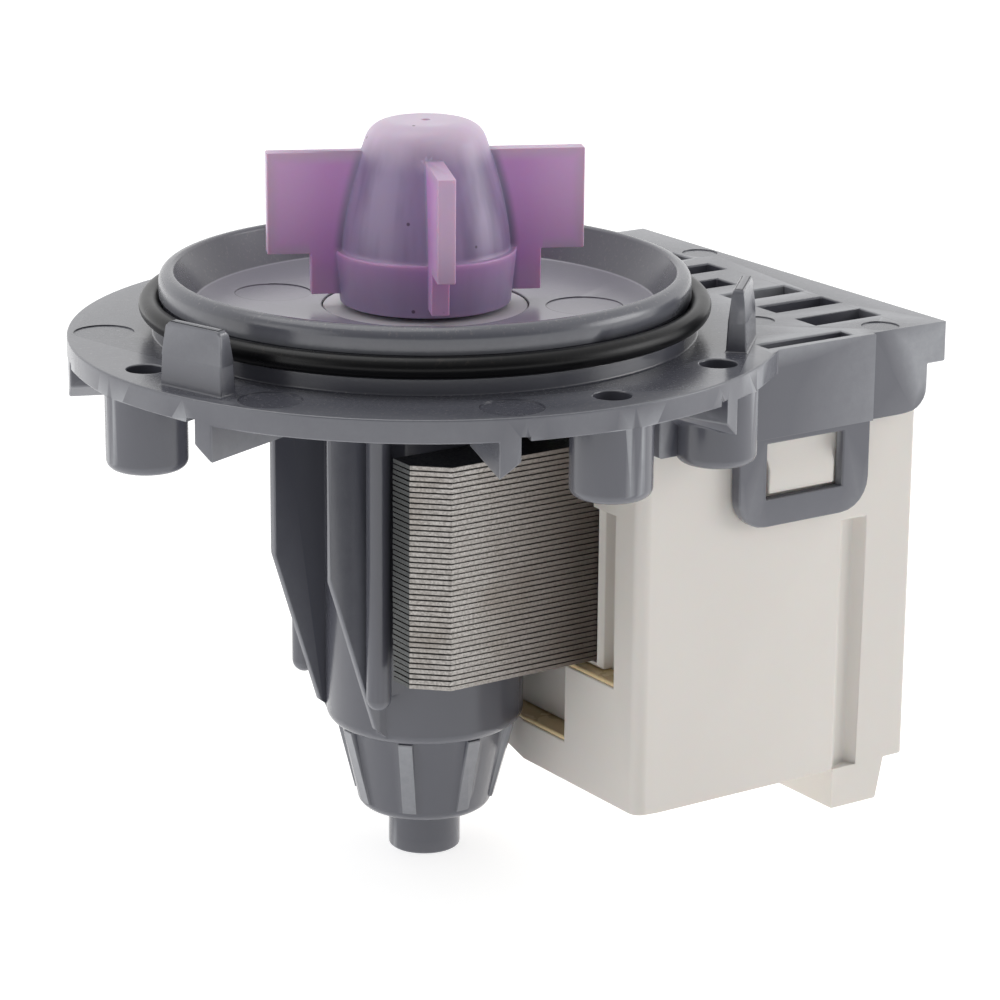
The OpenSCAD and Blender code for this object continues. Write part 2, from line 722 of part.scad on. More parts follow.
module rear_bearing_rubber() {
    color("black") difference() {
        translate([0, 0, -rear_bearing_bottom]) cylinder(r = nose_bore_r, h = rear_bearing_len);
        translate([0, 0, -rear_bearing_bottom + bearing_seat])
            cylinder(r = rear_bearing_r, h = rear_bearing_len);
        translate([0, 0, -rear_bearing_bottom - 1]) cylinder(r = shaft_r + 0.8, h = 2);
    }
}

// Rotor: shaft, moulded carrier, ring magnet, washers and the clutch driver
module rotor_shaft() {
    bottom = rear_bearing_bottom - 1;
    tip = 0.4;
    color("silver") union() {
        translate([0, 0, -bottom + tip]) cylinder(r = shaft_r, h = bottom + shaft_top - 2 * tip);
        translate([0, 0, shaft_top - tip]) cylinder(r1 = shaft_r, r2 = shaft_r - tip, h = tip);
        translate([0, 0, -bottom]) cylinder(r1 = shaft_r - tip, r2 = shaft_r, h = tip);
    }
}

module rotor_magnet() {
    color("dimgray") ring(magnet_r, magnet_bore_r, -magnet_bottom, -magnet_top);
}

module magnet_carrier() {
    upper_end = holder_bottom + washer_t + 2 * washer_gap;
    lower_end = rear_bearing_top - washer_t - 2 * washer_gap;
    disc_r = magnet_r - 0.4;
    sleeve_r = shaft_r + 1.9;
    color("white") difference() {
        union() {
            translate([0, 0, -magnet_bottom]) cylinder(r = magnet_bore_r, h = magnet_bottom - magnet_top);
            translate([0, 0, -magnet_top]) cylinder(r = disc_r, h = carrier_disc_t);
            translate([0, 0, -magnet_bottom - carrier_disc_t]) cylinder(r = disc_r, h = carrier_disc_t);
            translate([0, 0, -magnet_top]) cylinder(r = sleeve_r, h = magnet_top - upper_end);
            translate([0, 0, -lower_end]) cylinder(r = sleeve_r, h = lower_end - magnet_bottom);
        }
        translate([0, 0, -lower_end - 1]) cylinder(r = shaft_r, h = lower_end + 1);
    }
}

module upper_thrust_washer() {
    top = holder_bottom + washer_gap;
    color("peru") ring(front_bearing_r, shaft_r + run_gap, -top - washer_t, -top);
}

module lower_thrust_washer() {
    top = rear_bearing_top - washer_t - washer_gap;
    color("peru") ring(shaft_r + 2, shaft_r + run_gap, -top - washer_t, -top);
}

module clutch_driver() {
    color("orange") difference() {
        union() {
            translate([0, 0, driver_bottom]) cylinder(r = driver_hub_r, h = driver_top - driver_bottom);
            sector(driver_hub_r - 1, hub_bore_r - 0.4, driver_bottom, driver_top,
                dog_angle, 180 + blade_turn);
        }
        translate([0, 0, driver_bottom - 1]) cylinder(r = shaft_r, h = driver_top - driver_bottom + 2);
    }
}

// Impeller: hub, blades and the inner dog are one moulding
module impeller() {
    color("orchid") difference() {
        union() {
            rotate_extrude() polygon(concat(
                [[0, hub_top]],
                dome(),
                [[hub_skirt_r, hub_skirt_top + 0.1], [hub_skirt_r, hub_skirt_top - 0.3]],
                [[hub_foot_r, hub_bottom], [0, hub_bottom]]
            ));
            for (a = [0:90:270]) rotate([0, 0, a + blade_turn]) {
                block([0, -blade_t / 2, blade_step], [blade_r, blade_t / 2, blade_top]);
                block([0, -blade_t / 2, blade_foot], [blade_foot_r, blade_t / 2, blade_step + join]);
            }
        }
        difference() {
            translate([0, 0, hub_bottom - 1]) cylinder(r = hub_bore_r, h = hub_ceiling - hub_bottom + 1);
            sector(dog_inner_r, hub_bore_r + 1, driver_bottom, hub_ceiling + 1, dog_angle, blade_turn);
        }
        translate([0, 0, hub_ceiling - 1]) cylinder(r = shaft_r + run_gap, h = shaft_top - hub_ceiling + 1.6);
        translate([0, 0, hub_top - 0.35]) cylinder(r = 0.5, h = 1);
    }
}

module hub_bush() {
    color("ivory") ring(hub_bore_r, shaft_r + run_gap, bush_bottom, bush_bottom + bush_len);
}

module clutch_bumper() {
    offset_angle = (dog_angle + bumper_angle) / 2;
    color("black") for (side = [-1, 1])
        sector(dog_inner_r + 0.2, hub_bore_r - 0.1, driver_bottom + 0.1, driver_top, bumper_angle,
            blade_turn + side * offset_angle);
}

// Motor: laminated core, bobbins, windings, resin, terminals and their housing
module core_outline(inset) {
    difference() {
        translate([-leg_reach + inset, -core_half_w + inset])
            square([yoke_x + leg_reach - 2 * inset, 2 * (core_half_w - inset)]);
        translate([-leg_reach - 1, -leg_in_y - inset])
            square([yoke_x - yoke_w + leg_reach + 1 + inset, 2 * (leg_in_y + inset)]);
        bore_r = can_r + pole_gap + inset;
        circle(r = bore_r);
        translate([-leg_reach - 1, -bore_r]) square([leg_reach + 1, 2 * bore_r]);
        for (leg = [[-1, leg_reach], [1, back_leg_reach]]) polygon([
            [-leg_reach - 1, 0],
            [-leg[1] + inset, 0],
            [-leg[1] + inset, leg[0] * (core_half_w - leg_chamfer_y - inset)],
            [-leg[1] + leg_chamfer_x + inset, leg[0] * (core_half_w - inset)],
            [-leg[1] + leg_chamfer_x, leg[0] * (core_half_w + 1)],
            [-leg_reach - 1, leg[0] * (core_half_w + 1)]
        ]);
    }
}

module core_stack() {
    pitch = core_h / laminations;
    color("silver") difference() {
        union() {
            for (i = [0:laminations - 1]) translate([0, 0, -core_top - (i + 1) * pitch + groove_w / 2])
                linear_extrude(pitch - groove_w) core_outline(0);
            translate([0, 0, -core_top - core_h + pitch / 2]) linear_extrude(core_h - pitch)
                core_outline(lamination_groove);
        }
        for (p = rivet_places) translate([p[0], p[1], -core_top - core_h - 1])
            cylinder(r = rivet_r, h = core_h + 2);
    }
}

module core_rivets() {
    sunk = 0.2;
    color("gray") for (p = rivet_places) translate([p[0], p[1], -core_top - core_h + sunk])
        cylinder(r = rivet_r, h = core_h - 2.5 * sunk);
}

module bobbin() {
    outer_y = tube_half_y + winding_t + flange_lip;
    outer_z = tube_half_z + winding_t + flange_lip;
    edge = bobbin_wall - 0.25;
    color("ivory") difference() {
        translate([0, leg_mid_y, -core_mid_z]) union() {
            hull() {
                block([bobbin_front_x, -tube_half_y + edge, -tube_half_z + edge],
                    [bobbin_rear_x, tube_half_y - edge, tube_half_z - edge]);
                block([bobbin_front_x + edge, -tube_half_y, -tube_half_z],
                    [bobbin_rear_x, tube_half_y, tube_half_z]);
            }
            block([bobbin_flange_x, fit_gap - leg_mid_y, -bobbin_foot + core_mid_z],
                [bobbin_flange_x + bobbin_wall, outer_y, outer_z]);
            block([bobbin_rear_x - bobbin_wall, -outer_y, -outer_z], [bobbin_rear_x, outer_y, outer_z]);
        }
        translate([0, leg_mid_y, -core_mid_z])
            block([-1, -leg_w / 2 - bobbin_gap, -core_h / 2 - bobbin_gap],
                [bobbin_rear_x + 1, leg_w / 2 + bobbin_gap, core_h / 2 + bobbin_gap]);
        terminal_slot();
    }
}

module winding() {
    color("chocolate") translate([0, leg_mid_y, -core_mid_z]) difference() {
        rounded_bar(bobbin_flange_x + bobbin_wall, bobbin_rear_x - bobbin_wall, tube_half_y + winding_t,
            tube_half_z + winding_t, winding_t);
        block([0, -tube_half_y, -tube_half_z], [bobbin_rear_x, tube_half_y, tube_half_z]);
    }
}

// Bar along X with rounded long edges
module rounded_bar(x0, x1, half_y, half_z, r) {
    translate([x0, 0, 0]) rotate([90, 0, 90]) linear_extrude(x1 - x0) polygon(concat(
        arc(half_y - r, half_z - r, r, 0, 90), arc(-half_y + r, half_z - r, r, 90, 180),
        arc(-half_y + r, -half_z + r, r, 180, 270), arc(half_y - r, -half_z + r, r, 270, 360)
    ));
}

module left_bobbin() { mirror([0, 1, 0]) bobbin(); }
module right_bobbin() { bobbin(); }
module left_winding() { mirror([0, 1, 0]) winding(); }
module right_winding() { winding(); }

// Resin fills the bottom of the housing and stands behind its front window
module potting_resin() {
    inner_w = house_half_w - house_wall;
    floor_level = -house_bottom + house_wall;
    resin_edge = 0.1;
    color("khaki") difference() {
        union() {
            block([house_x0 + house_wall, -inner_w, floor_level],
                [house_x1 - house_wall, inner_w, -relief_bottom]);
            block([house_x0 + resin_edge, -relief_half_y, -relief_bottom - ledge_t],
                [house_x0 + house_wall + join, relief_half_y, -relief_bottom]);
            mirrored_y() {
                block([house_x0 + house_wall, relief_half_y, floor_level],
                    [bobbin_flange_x, pocket_half_y, -pocket_bottom]);
                block([house_x0 + resin_edge, relief_half_y, -pocket_bottom - ledge_t],
                    [house_x0 + house_wall + join, pocket_half_y, -pocket_bottom]);
            }
        }
        nose_recess();
    }
}

module terminal_slot() {
    translate([0, 0, -terminal_z])
        block([bobbin_rear_x - bobbin_wall - 1, terminal_y - blade_w / 2, -terminal_t / 2],
            [bobbin_rear_x + 1, terminal_y + blade_w / 2, terminal_t / 2]);
}

module terminal() {
    tip = 1.2;
    eye_d = 1.8;
    eye_in = 4;
    color("silver") translate([0, terminal_y, -terminal_z - terminal_t / 2]) difference() {
        linear_extrude(terminal_t) polygon([
            [bobbin_rear_x - bobbin_wall, -blade_w / 2], [terminal_x1 - tip, -blade_w / 2],
            [terminal_x1, -blade_w / 2 + tip], [terminal_x1, blade_w / 2 - tip],
            [terminal_x1 - tip, blade_w / 2], [bobbin_rear_x - bobbin_wall, blade_w / 2]
        ]);
        translate([terminal_x1 - eye_in, 0, -1]) cylinder(d = eye_d, h = terminal_t + 2);
    }
}

module left_terminal() { mirror([0, 1, 0]) terminal(); }
module right_terminal() { terminal(); }

// Upright box with its own corner radius at the front and at the back
module rounded_box(x0, x1, half_w, z0, z1, r0, r1) {
    translate([0, 0, z0]) linear_extrude(z1 - z0) polygon(concat(
        arc(x1 - r1, half_w - r1, r1, 0, 90), arc(x0 + r0, half_w - r0, r0, 90, 180),
        arc(x0 + r0, -half_w + r0, r0, 180, 270), arc(x1 - r1, -half_w + r1, r1, 270, 360)
    ));
}

module snap_catch() {
    side_gap = 0.8;
    catch_h = window_h - 1.4;
    face_y = house_half_w + 1.1;
    foot_z = -window_bottom + 0.4;
    translate([window_x0 + side_gap, 0, 0]) rotate([90, 0, 90]) linear_extrude(window_w - 2 * side_gap)
        polygon([
            [house_half_w - join, foot_z], [face_y, foot_z],
            [face_y, -window_bottom + catch_h * 0.6], [house_half_w - join, -window_bottom + catch_h]
        ]);
}

module foot() {
    foot_z = -house_bottom - foot_h;
    side_plate([
        [groove_x, -house_bottom + join], [groove_x, foot_z],
        [groove_x + foot_w, foot_z], [groove_x + foot_w + foot_slope, -house_bottom + join]
    ], house_half_w - foot_len / 2, foot_len);
}

// Groove in a side face, steep at its front and shallow at its back
module side_groove() {
    translate([groove_x, house_half_w, -house_bottom - 1]) linear_extrude(house_bottom + 1 - groove_top)
        polygon([[-0.15, 1], [-0.15, 0], [1.2, -1.3], [2.9, -1.5], [3.8, 0], [3.8, 1]]);
}

// Window through the front wall, with a rebate for the ends of the bobbin tubes
module front_window() {
    wall_back = house_x0 + house_wall + 1;
    tube_y = leg_mid_y + tube_half_y + fit_gap;
    sill = -pocket_bottom - ledge_t;
    block([house_x0 - 1, -mouth_half_y, -pocket_bottom], [wall_back, mouth_half_y, 0]);
    block([house_x0 - 1, -pocket_half_y, sill], [wall_back, pocket_half_y, -pocket_top]);
    block([house_x0 - 1, -relief_half_y, -relief_bottom - ledge_t], [wall_back, relief_half_y, -pocket_top]);
    block([bobbin_front_x - fit_gap, -tube_y, -pocket_bottom], [wall_back, tube_y, 0]);
}

// Shallow recess in the front face below the window, round the nose
module nose_recess() {
    half_y = 5.8;
    depth = 1.5;
    translate([house_x0, 0, -house_bottom - 1]) linear_extrude(house_bottom)
        polygon([[-1, -half_y], [0, -half_y], [depth, 0], [0, half_y], [-1, half_y]]);
}

module terminal_exit() {
    translate([0, 0, -terminal_z])
        block([house_x1 - house_wall - 1, terminal_y - blade_w / 2 - fit_gap, -terminal_t / 2 - fit_gap],
            [house_x1 + 1, terminal_y + blade_w / 2 + fit_gap, house_bottom]);
}

module coil_housing() {
    inner_w = house_half_w - house_wall;
    color("antiquewhite") union() {
        difference() {
            union() {
                rounded_box(house_x0, house_x1, house_half_w, -house_bottom, -house_top,
                    house_round, house_round / 3);
                mirrored_y() snap_catch();
            }
            block([house_x0 + house_wall, -inner_w, -house_bottom + house_wall],
                [house_x1 - house_wall, inner_w, 0]);
            front_window();
            nose_recess();
            mirrored_y() {
                side_groove();
                terminal_exit();
            }
        }
        mirrored_y() foot();
    }
}

pump_housing();
o_ring();
seal_cap();
shaft_seal();
bearing_holder();
front_bearing();
rear_bearing();
rear_bearing_rubber();
coil_housing();
core_stack();
core_rivets();
left_bobbin();
right_bobbin();
left_winding();
right_winding();
potting_resin();
left_terminal();
right_terminal();
rotor_shaft();
rotor_magnet();
magnet_carrier();
upper_thrust_washer();
lower_thrust_washer();
clutch_driver();
impeller();
hub_bush();
clutch_bumper();
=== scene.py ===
import json
import math

import bmesh
import bpy
from mathutils import Matrix, Vector


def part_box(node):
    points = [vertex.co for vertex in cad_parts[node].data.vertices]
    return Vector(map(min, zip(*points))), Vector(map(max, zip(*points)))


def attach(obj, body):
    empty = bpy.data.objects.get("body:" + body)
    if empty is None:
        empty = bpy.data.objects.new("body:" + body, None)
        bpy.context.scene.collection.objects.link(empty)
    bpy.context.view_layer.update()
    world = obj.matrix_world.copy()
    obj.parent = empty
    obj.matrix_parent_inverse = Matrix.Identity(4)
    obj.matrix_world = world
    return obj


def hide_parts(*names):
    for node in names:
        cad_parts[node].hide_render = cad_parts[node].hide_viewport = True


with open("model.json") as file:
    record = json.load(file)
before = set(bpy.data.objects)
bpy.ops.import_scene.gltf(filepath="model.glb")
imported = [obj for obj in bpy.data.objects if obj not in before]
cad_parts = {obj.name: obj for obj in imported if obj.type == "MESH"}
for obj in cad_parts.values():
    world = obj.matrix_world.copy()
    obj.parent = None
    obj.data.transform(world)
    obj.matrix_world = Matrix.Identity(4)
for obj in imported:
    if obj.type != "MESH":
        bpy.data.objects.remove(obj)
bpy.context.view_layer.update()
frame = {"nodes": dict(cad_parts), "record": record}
mm = 0.001


# Camera

cameraSettings = {
    "position": (-226.53 * mm, -351.17 * mm, 102.46 * mm),
    "heading": -34.068,     # degrees that the view is turned about Z, from looking along +Y
    "pitch": 16.524,        # degrees below the horizon
    "roll": 0.470,
    "lens": 129.75,
}


def makeCamera():
    data = bpy.data.cameras.new("photoCamera")
    data.sensor_width = 36
    data.lens = cameraSettings["lens"]
    data.clip_start = 0.01
    camera = bpy.data.objects.new("photoCamera", data)
    bpy.context.collection.objects.link(camera)
    heading = Matrix.Rotation(math.radians(cameraSettings["heading"]), 4, "Z")
    pitch = Matrix.Rotation(math.radians(90 - cameraSettings["pitch"]), 4, "X")
    roll = Matrix.Rotation(math.radians(cameraSettings["roll"]), 4, "Z")
    camera.matrix_world = Matrix.Translation(cameraSettings["position"]) @ heading @ pitch @ roll
    bpy.context.scene.camera = camera


makeCamera()
print("camera ready")


# Small helpers for node trees

def addNode(tree, kind, inputs=None, **settings):
    node = tree.nodes.new(kind)
    for name, value in settings.items():
        setattr(node, name, value)
    for name, value in (inputs or {}).items():
        if isinstance(value, bpy.types.NodeSocket):
            tree.links.new(value, node.inputs[name])
        else:
            node.inputs[name].default_value = value
    return node


def newGroup(name, kind, inputs, outputs):
    tree = bpy.data.node_groups.new(name, kind)
    for label, socketType, value in inputs:
        socket = tree.interface.new_socket(label, in_out="INPUT", socket_type=socketType)
        if value is not None:
            socket.default_value = value
    for label, socketType in outputs:
        tree.interface.new_socket(label, in_out="OUTPUT", socket_type=socketType)
    return tree, tree.nodes.new("NodeGroupInput"), tree.nodes.new("NodeGroupOutput")


def mathNode(tree, operation, first, second=0.0, clamp=False):
    node = addNode(tree, "ShaderNodeMath", {0: first, 1: second}, operation=operation, use_clamp=clamp)
    return node.outputs[0]


def mixColour(tree, factor, first, second):
    return addNode(tree, "ShaderNodeMix", {0: factor, 6: first, 7: second}, data_type="RGBA").outputs[2]


def smoothStep(tree, value, low, high, start=0.0, end=1.0):
    node = addNode(tree, "ShaderNodeMapRange", {0: value, 1: low, 2: high, 3: start, 4: end},
                   interpolation_type="SMOOTHSTEP")
    return node.outputs[0]


def objectPlace(tree):
    return addNode(tree, "ShaderNodeTexCoord").outputs["Object"]


def partsOf(tree, vector):
    return addNode(tree, "ShaderNodeSeparateXYZ", {0: vector}).outputs


def normalParts(tree):
    return partsOf(tree, addNode(tree, "ShaderNodeNewGeometry").outputs["Normal"])


def noise(tree, scale, detail, roughness=0.5, place=None):
    inputs = {"Scale": scale, "Detail": detail, "Roughness": roughness}
    if place is not None:
        inputs["Vector"] = place
    return addNode(tree, "ShaderNodeTexNoise", inputs).outputs["Fac"]


def scaled(tree, vector, factor):
    return addNode(tree, "ShaderNodeVectorMath", {0: vector, "Scale": factor}, operation="SCALE").outputs[0]


def addBump(tree, surface, height, strength, depth):
    bump = addNode(tree, "ShaderNodeBump", {"Strength": strength, "Distance": depth, "Height": height})
    tree.links.new(bump.outputs[0], surface.inputs["Normal"])


def fromScreen(red, green, blue):
    def linear(value):
        value = value / 255
        return value / 12.92 if value <= 0.04045 else ((value + 0.055) / 1.055) ** 2.4
    return (linear(red), linear(green), linear(blue), 1.0)


# Shader groups that several finishes share

groupLook = {
    "broadScale": 90.0,         # the mottle's patches
    "paleEdgeLevel": 0.515,          # how convex an edge is before it turns paler, partly from wear and partly as a painted highlight
    "paleEdgeScale": 420.0,
    "dustLevel": 0.56, "dustContrast": 9.0,
}


def makeMouldGrain():
    tree, given, result = newGroup(
        "mouldGrain", "ShaderNodeTree",
        [("Fineness", "NodeSocketFloat", 2600.0), ("Mottle", "NodeSocketFloat", 0.1)],
        [("Height", "NodeSocketFloat"), ("Tone", "NodeSocketFloat")],
    )
    place = objectPlace(tree)
    fine = noise(tree, given.outputs["Fineness"], 3.0, 0.6, place)
    broad = noise(tree, groupLook["broadScale"], 4.0, 0.55, place)
    tree.links.new(fine, result.inputs["Height"])
    swing = mathNode(tree, "MULTIPLY", mathNode(tree, "SUBTRACT", broad, 0.5), given.outputs["Mottle"])
    tree.links.new(mathNode(tree, "ADD", swing, 1.0), result.inputs["Tone"])
    return tree


def makeEdgeWearAndHighlight():
    tree, given, result = newGroup(
        "edgeWearAndHighlight", "ShaderNodeTree",
        [("Sharpness", "NodeSocketFloat", 12.0), ("Breakup", "NodeSocketFloat", 0.5)],
        [("Mask", "NodeSocketFloat")],
    )
    # convex edges turn paler: partly real wear, partly a painted highlight
    shape = addNode(tree, "ShaderNodeNewGeometry").outputs["Pointiness"]
    convex = mathNode(tree, "SUBTRACT", shape, groupLook["paleEdgeLevel"])
    raised = mathNode(tree, "MULTIPLY", convex, given.outputs["Sharpness"], True)
    patches = noise(tree, groupLook["paleEdgeScale"], 5.0, 0.7, objectPlace(tree))
    kept = mathNode(tree, "SUBTRACT", 1.0, mathNode(tree, "MULTIPLY", patches, given.outputs["Breakup"]))
    tree.links.new(mathNode(tree, "MULTIPLY", raised, kept, True), result.inputs["Mask"])
    return tree


def makeFineDust():
    tree, given, result = newGroup(
        "fineDust", "ShaderNodeTree",
        [("Amount", "NodeSocketFloat", 0.3), ("Fineness", "NodeSocketFloat", 1500.0)],
        [("Mask", "NodeSocketFloat")],
    )
    specks = noise(tree, given.outputs["Fineness"], 6.0, 0.75, objectPlace(tree))
    over = mathNode(tree, "SUBTRACT", specks, groupLook["dustLevel"])
    raised = mathNode(tree, "MULTIPLY", over, groupLook["dustContrast"], True)
    facing = mathNode(tree, "MULTIPLY", normalParts(tree)["Z"], 1.0, True)
    mask = mathNode(tree, "MULTIPLY", mathNode(tree, "MULTIPLY", raised, facing), given.outputs["Amount"], True)
    tree.links.new(mask, result.inputs["Mask"])
    return tree


groups = {"grain": makeMouldGrain(), "edge": makeEdgeWearAndHighlight(), "dust": makeFineDust()}


def useGroup(tree, name, **inputs):
    return addNode(tree, "ShaderNodeGroup", inputs, node_tree=groups[name])


print("shader groups ready")


# Finishes

finishLook = {
    "edgeBreakup": 0.6, "mouldedSwing": 0.05,      # the swing is how far the roughness varies
    "metalFineness": 900.0, "metalSwing": 0.08, "streakStrength": 0.25, "streakDepth": 0.02 * mm,
}


def newFinish(name):
    material = bpy.data.materials.new(name)
    material.use_nodes = True
    tree = material.node_tree
    tree.nodes.clear()
    surface = tree.nodes.new("ShaderNodeBsdfPrincipled")
    output = tree.nodes.new("ShaderNodeOutputMaterial")
    tree.links.new(surface.outputs[0], output.inputs["Surface"])
    return material, tree, surface


def makeMoulded(name, look):
    # plastic or rubber as it leaves the mould: fine grain, mottle, a little dust, and paler edges that are
    # partly wear and partly a painted highlight
    material, tree, surface = newFinish(name)
    grain = useGroup(tree, "grain", Fineness=look["fineness"], Mottle=look["mottle"])
    edgeWearAndSheen = useGroup(tree, "edge", Sharpness=look["edgeSharpness"], Breakup=finishLook["edgeBreakup"])
    dust = useGroup(tree, "dust", Amount=look["dust"], Fineness=look["dustFineness"])
    toned = addNode(tree, "ShaderNodeHueSaturation", {"Color": look["colour"], "Value": grain.outputs["Tone"]})
    edged = mixColour(tree, edgeWearAndSheen.outputs["Mask"], toned.outputs[0], look["edgeColour"])
    dusted = mixColour(tree, dust.outputs["Mask"], edged, look["dustColour"])
    tree.links.new(dusted, surface.inputs["Base Color"])
    rough, swing = look["roughness"], finishLook["mouldedSwing"]
    rough = smoothStep(tree, grain.outputs["Tone"], 0.9, 1.1, rough - swing, rough + swing)
    tree.links.new(rough, surface.inputs["Roughness"])
    addBump(tree, surface, grain.outputs["Height"], look["grainStrength"], look["grainDepth"])
    for socket, value in look.get("sockets", {}).items():
        surface.inputs[socket].default_value = value
    return material, tree, surface, dusted


def makeMetal(name, look):
    # drawn or rolled metal with fine streaks along one axis
    material, tree, surface = newFinish(name)
    stretched = addNode(tree, "ShaderNodeMapping", {"Vector": objectPlace(tree), "Scale": look["streak"]})
    streaks = noise(tree, 1.0, 4.0, 0.6, stretched.outputs[0])
    grain = useGroup(tree, "grain", Fineness=finishLook["metalFineness"], Mottle=look["mottle"])
    toned = addNode(tree, "ShaderNodeHueSaturation", {"Color": look["colour"], "Value": grain.outputs["Tone"]})
    tree.links.new(toned.outputs[0], surface.inputs["Base Color"])
    rough, swing = look["roughness"], finishLook["metalSwing"]
    rough = smoothStep(tree, streaks, 0.3, 0.7, rough - swing, rough + swing)
    tree.links.new(rough, surface.inputs["Roughness"])
    addBump(tree, surface, streaks, finishLook["streakStrength"], finishLook["streakDepth"])
    surface.inputs["Metallic"].default_value = 1.0
    return material


greyLook = {
    "colour": fromScreen(89, 90, 99), "mottle": 0.12, "fineness": 2600.0, "roughness": 0.23,
    "grainStrength": 0.5, "grainDepth": 0.025 * mm,
    "edgeColour": fromScreen(168, 170, 175), "edgeSharpness": 9.0,
    "dust": 0.35, "dustFineness": 1900.0, "dustColour": fromScreen(172, 168, 168),
    "sockets": {"IOR": 1.62, "Coat Weight": 0.15, "Coat Roughness": 0.2},
}
ivoryLook = {
    "colour": fromScreen(224, 219, 213), "mottle": 0.05, "fineness": 1800.0, "roughness": 0.48,
    "grainStrength": 0.25, "grainDepth": 0.03 * mm,
    "edgeColour": fromScreen(236, 232, 224), "edgeSharpness": 5.0,
    "dust": 0.05, "dustFineness": 1500.0, "dustColour": fromScreen(190, 182, 168),
    "sockets": {"Subsurface Weight": 0.12, "Subsurface Scale": 0.8 * mm},
}
violetLook = {
    "colour": fromScreen(163, 145, 180), "mottle": 0.05, "fineness": 2200.0, "roughness": 0.34,
    "grainStrength": 0.2, "grainDepth": 0.03 * mm,
    "edgeColour": fromScreen(196, 172, 205), "edgeSharpness": 6.0,
    "dust": 0.05, "dustFineness": 1500.0, "dustColour": fromScreen(190, 180, 190),
    "sockets": {"Subsurface Weight": 0.45, "Subsurface Scale": 1.4 * mm},
}
rubberLook = {
    "colour": fromScreen(11, 11, 13), "mottle": 0.3, "fineness": 1500.0, "roughness": 0.3,
    "grainStrength": 0.3, "grainDepth": 0.03 * mm,
    "edgeColour": fromScreen(60, 56, 54), "edgeSharpness": 2.0,
    "dust": 0.2, "dustFineness": 1300.0, "dustColour": fromScreen(98, 86, 78),
    "sockets": {"Specular IOR Level": 0.25},
}
whiteLook = dict(ivoryLook, colour=fromScreen(214, 213, 214), edgeColour=fromScreen(236, 236, 236))
carbonLook = dict(rubberLook, colour=fromScreen(48, 48, 52), roughness=0.5, dust=0.0)
ferriteLook = dict(rubberLook, colour=fromScreen(66, 64, 66), roughness=0.6, mottle=0.2, dust=0.0)
resinLook = dict(ivoryLook, colour=fromScreen(234, 208, 158), edgeColour=fromScreen(236, 222, 190),
                 roughness=0.28, mottle=0.25)

steelLook = {"colour": fromScreen(186, 186, 188), "streak": (4000, 4000, 300), "roughness": 0.28, "mottle": 0.1}
copperLook = {"colour": fromScreen(196, 112, 66), "streak": (3000, 300, 300), "roughness": 0.3, "mottle": 0.2}
brassLook = {"colour": fromScreen(206, 203, 192), "streak": (300, 4000, 4000), "roughness": 0.25, "mottle": 0.1}
bronzeLook = {"colour": fromScreen(170, 128, 84), "streak": (900, 900, 900), "roughness": 0.4, "mottle": 0.2}
rivetLook = {"colour": fromScreen(150, 150, 152), "streak": (900, 900, 900), "roughness": 0.35, "mottle": 0.2}

markLook = {
    "line": 0.09 * mm, "strength": 0.5, "colour": fromScreen(62, 62, 70),
    # the ejector pins' outlines: x, y and radius in mm, on the flange, in the bowl and on the platform
    "circles": [
        (-32.8, -19.4, 3.6), (-12.0, -36.2, 3.6), (-12.0, 36.2, 3.6), (-33.6, 17.9, 3.6),
        (-12.7, 14.1, 4.6), (15.1, -11.4, 4.6), (12.9, 13.9, 4.6), (-14.9, -11.7, 4.6),
        (35.4, 18.5, 2.3), (35.4, -18.5, 2.3), (46.4, -28.6, 2.3), (52.1, 14.9, 2.3)],
    "seamX": 49.6 * mm,         # where two parts of the mould meet, beside the platform's slots
    "lowest": -0.5 * mm,        # nothing below this level is marked or paler
    # a paler colour on the bowl's floor, painted in for the shine that it has when seen at a low angle
    "bowlSheen": fromScreen(160, 158, 168), "bowlSheenAmount": 0.85,
    "bowlInside": 27.4 * mm, "bowlOutside": 28.6 * mm,
}


def makeHousingFinish():
    # grey plastic with the thin lines that the mould's pins and parting leave, and a painted reflection that
    # makes the bowl's floor paler
    look = markLook
    material, tree, surface, colour = makeMoulded("greyPlastic", greyLook)
    place = objectPlace(tree)
    flat = addNode(tree, "ShaderNodeVectorMath", {0: place, 1: (1, 1, 0)}, operation="MULTIPLY").outputs[0]
    nearest = None
    for x, y, radius in look["circles"]:
        centre = (x * mm, y * mm, 0)
        away = addNode(tree, "ShaderNodeVectorMath", {0: flat, 1: centre}, operation="DISTANCE").outputs["Value"]
        off = mathNode(tree, "ABSOLUTE", mathNode(tree, "SUBTRACT", away, radius * mm))
        nearest = off if nearest is None else mathNode(tree, "MINIMUM", nearest, off)
    parts = partsOf(tree, place)
    seam = mathNode(tree, "ABSOLUTE", mathNode(tree, "SUBTRACT", parts["X"], look["seamX"]))
    nearest = mathNode(tree, "MINIMUM", nearest, seam)
    line = smoothStep(tree, nearest, look["line"] * 0.4, look["line"], look["strength"], 0.0)
    level = mathNode(tree, "MULTIPLY", smoothStep(tree, normalParts(tree)["Z"], 0.5, 0.9),
                     smoothStep(tree, parts["Z"], look["lowest"], look["lowest"] + 0.3 * mm))
    # painted reflection: the bowl's floor paler, for the shine it has at a low angle
    reach = addNode(tree, "ShaderNodeVectorMath", {0: flat}, operation="LENGTH").outputs["Value"]
    bowl = smoothStep(tree, reach, look["bowlInside"], look["bowlOutside"], look["bowlSheenAmount"], 0.0)
    withSheen = mixColour(tree, mathNode(tree, "MULTIPLY", bowl, level), colour, look["bowlSheen"])
    marked = mixColour(tree, mathNode(tree, "MULTIPLY", line, level), withSheen, look["colour"])
    tree.links.new(marked, surface.inputs["Base Color"])
    return material


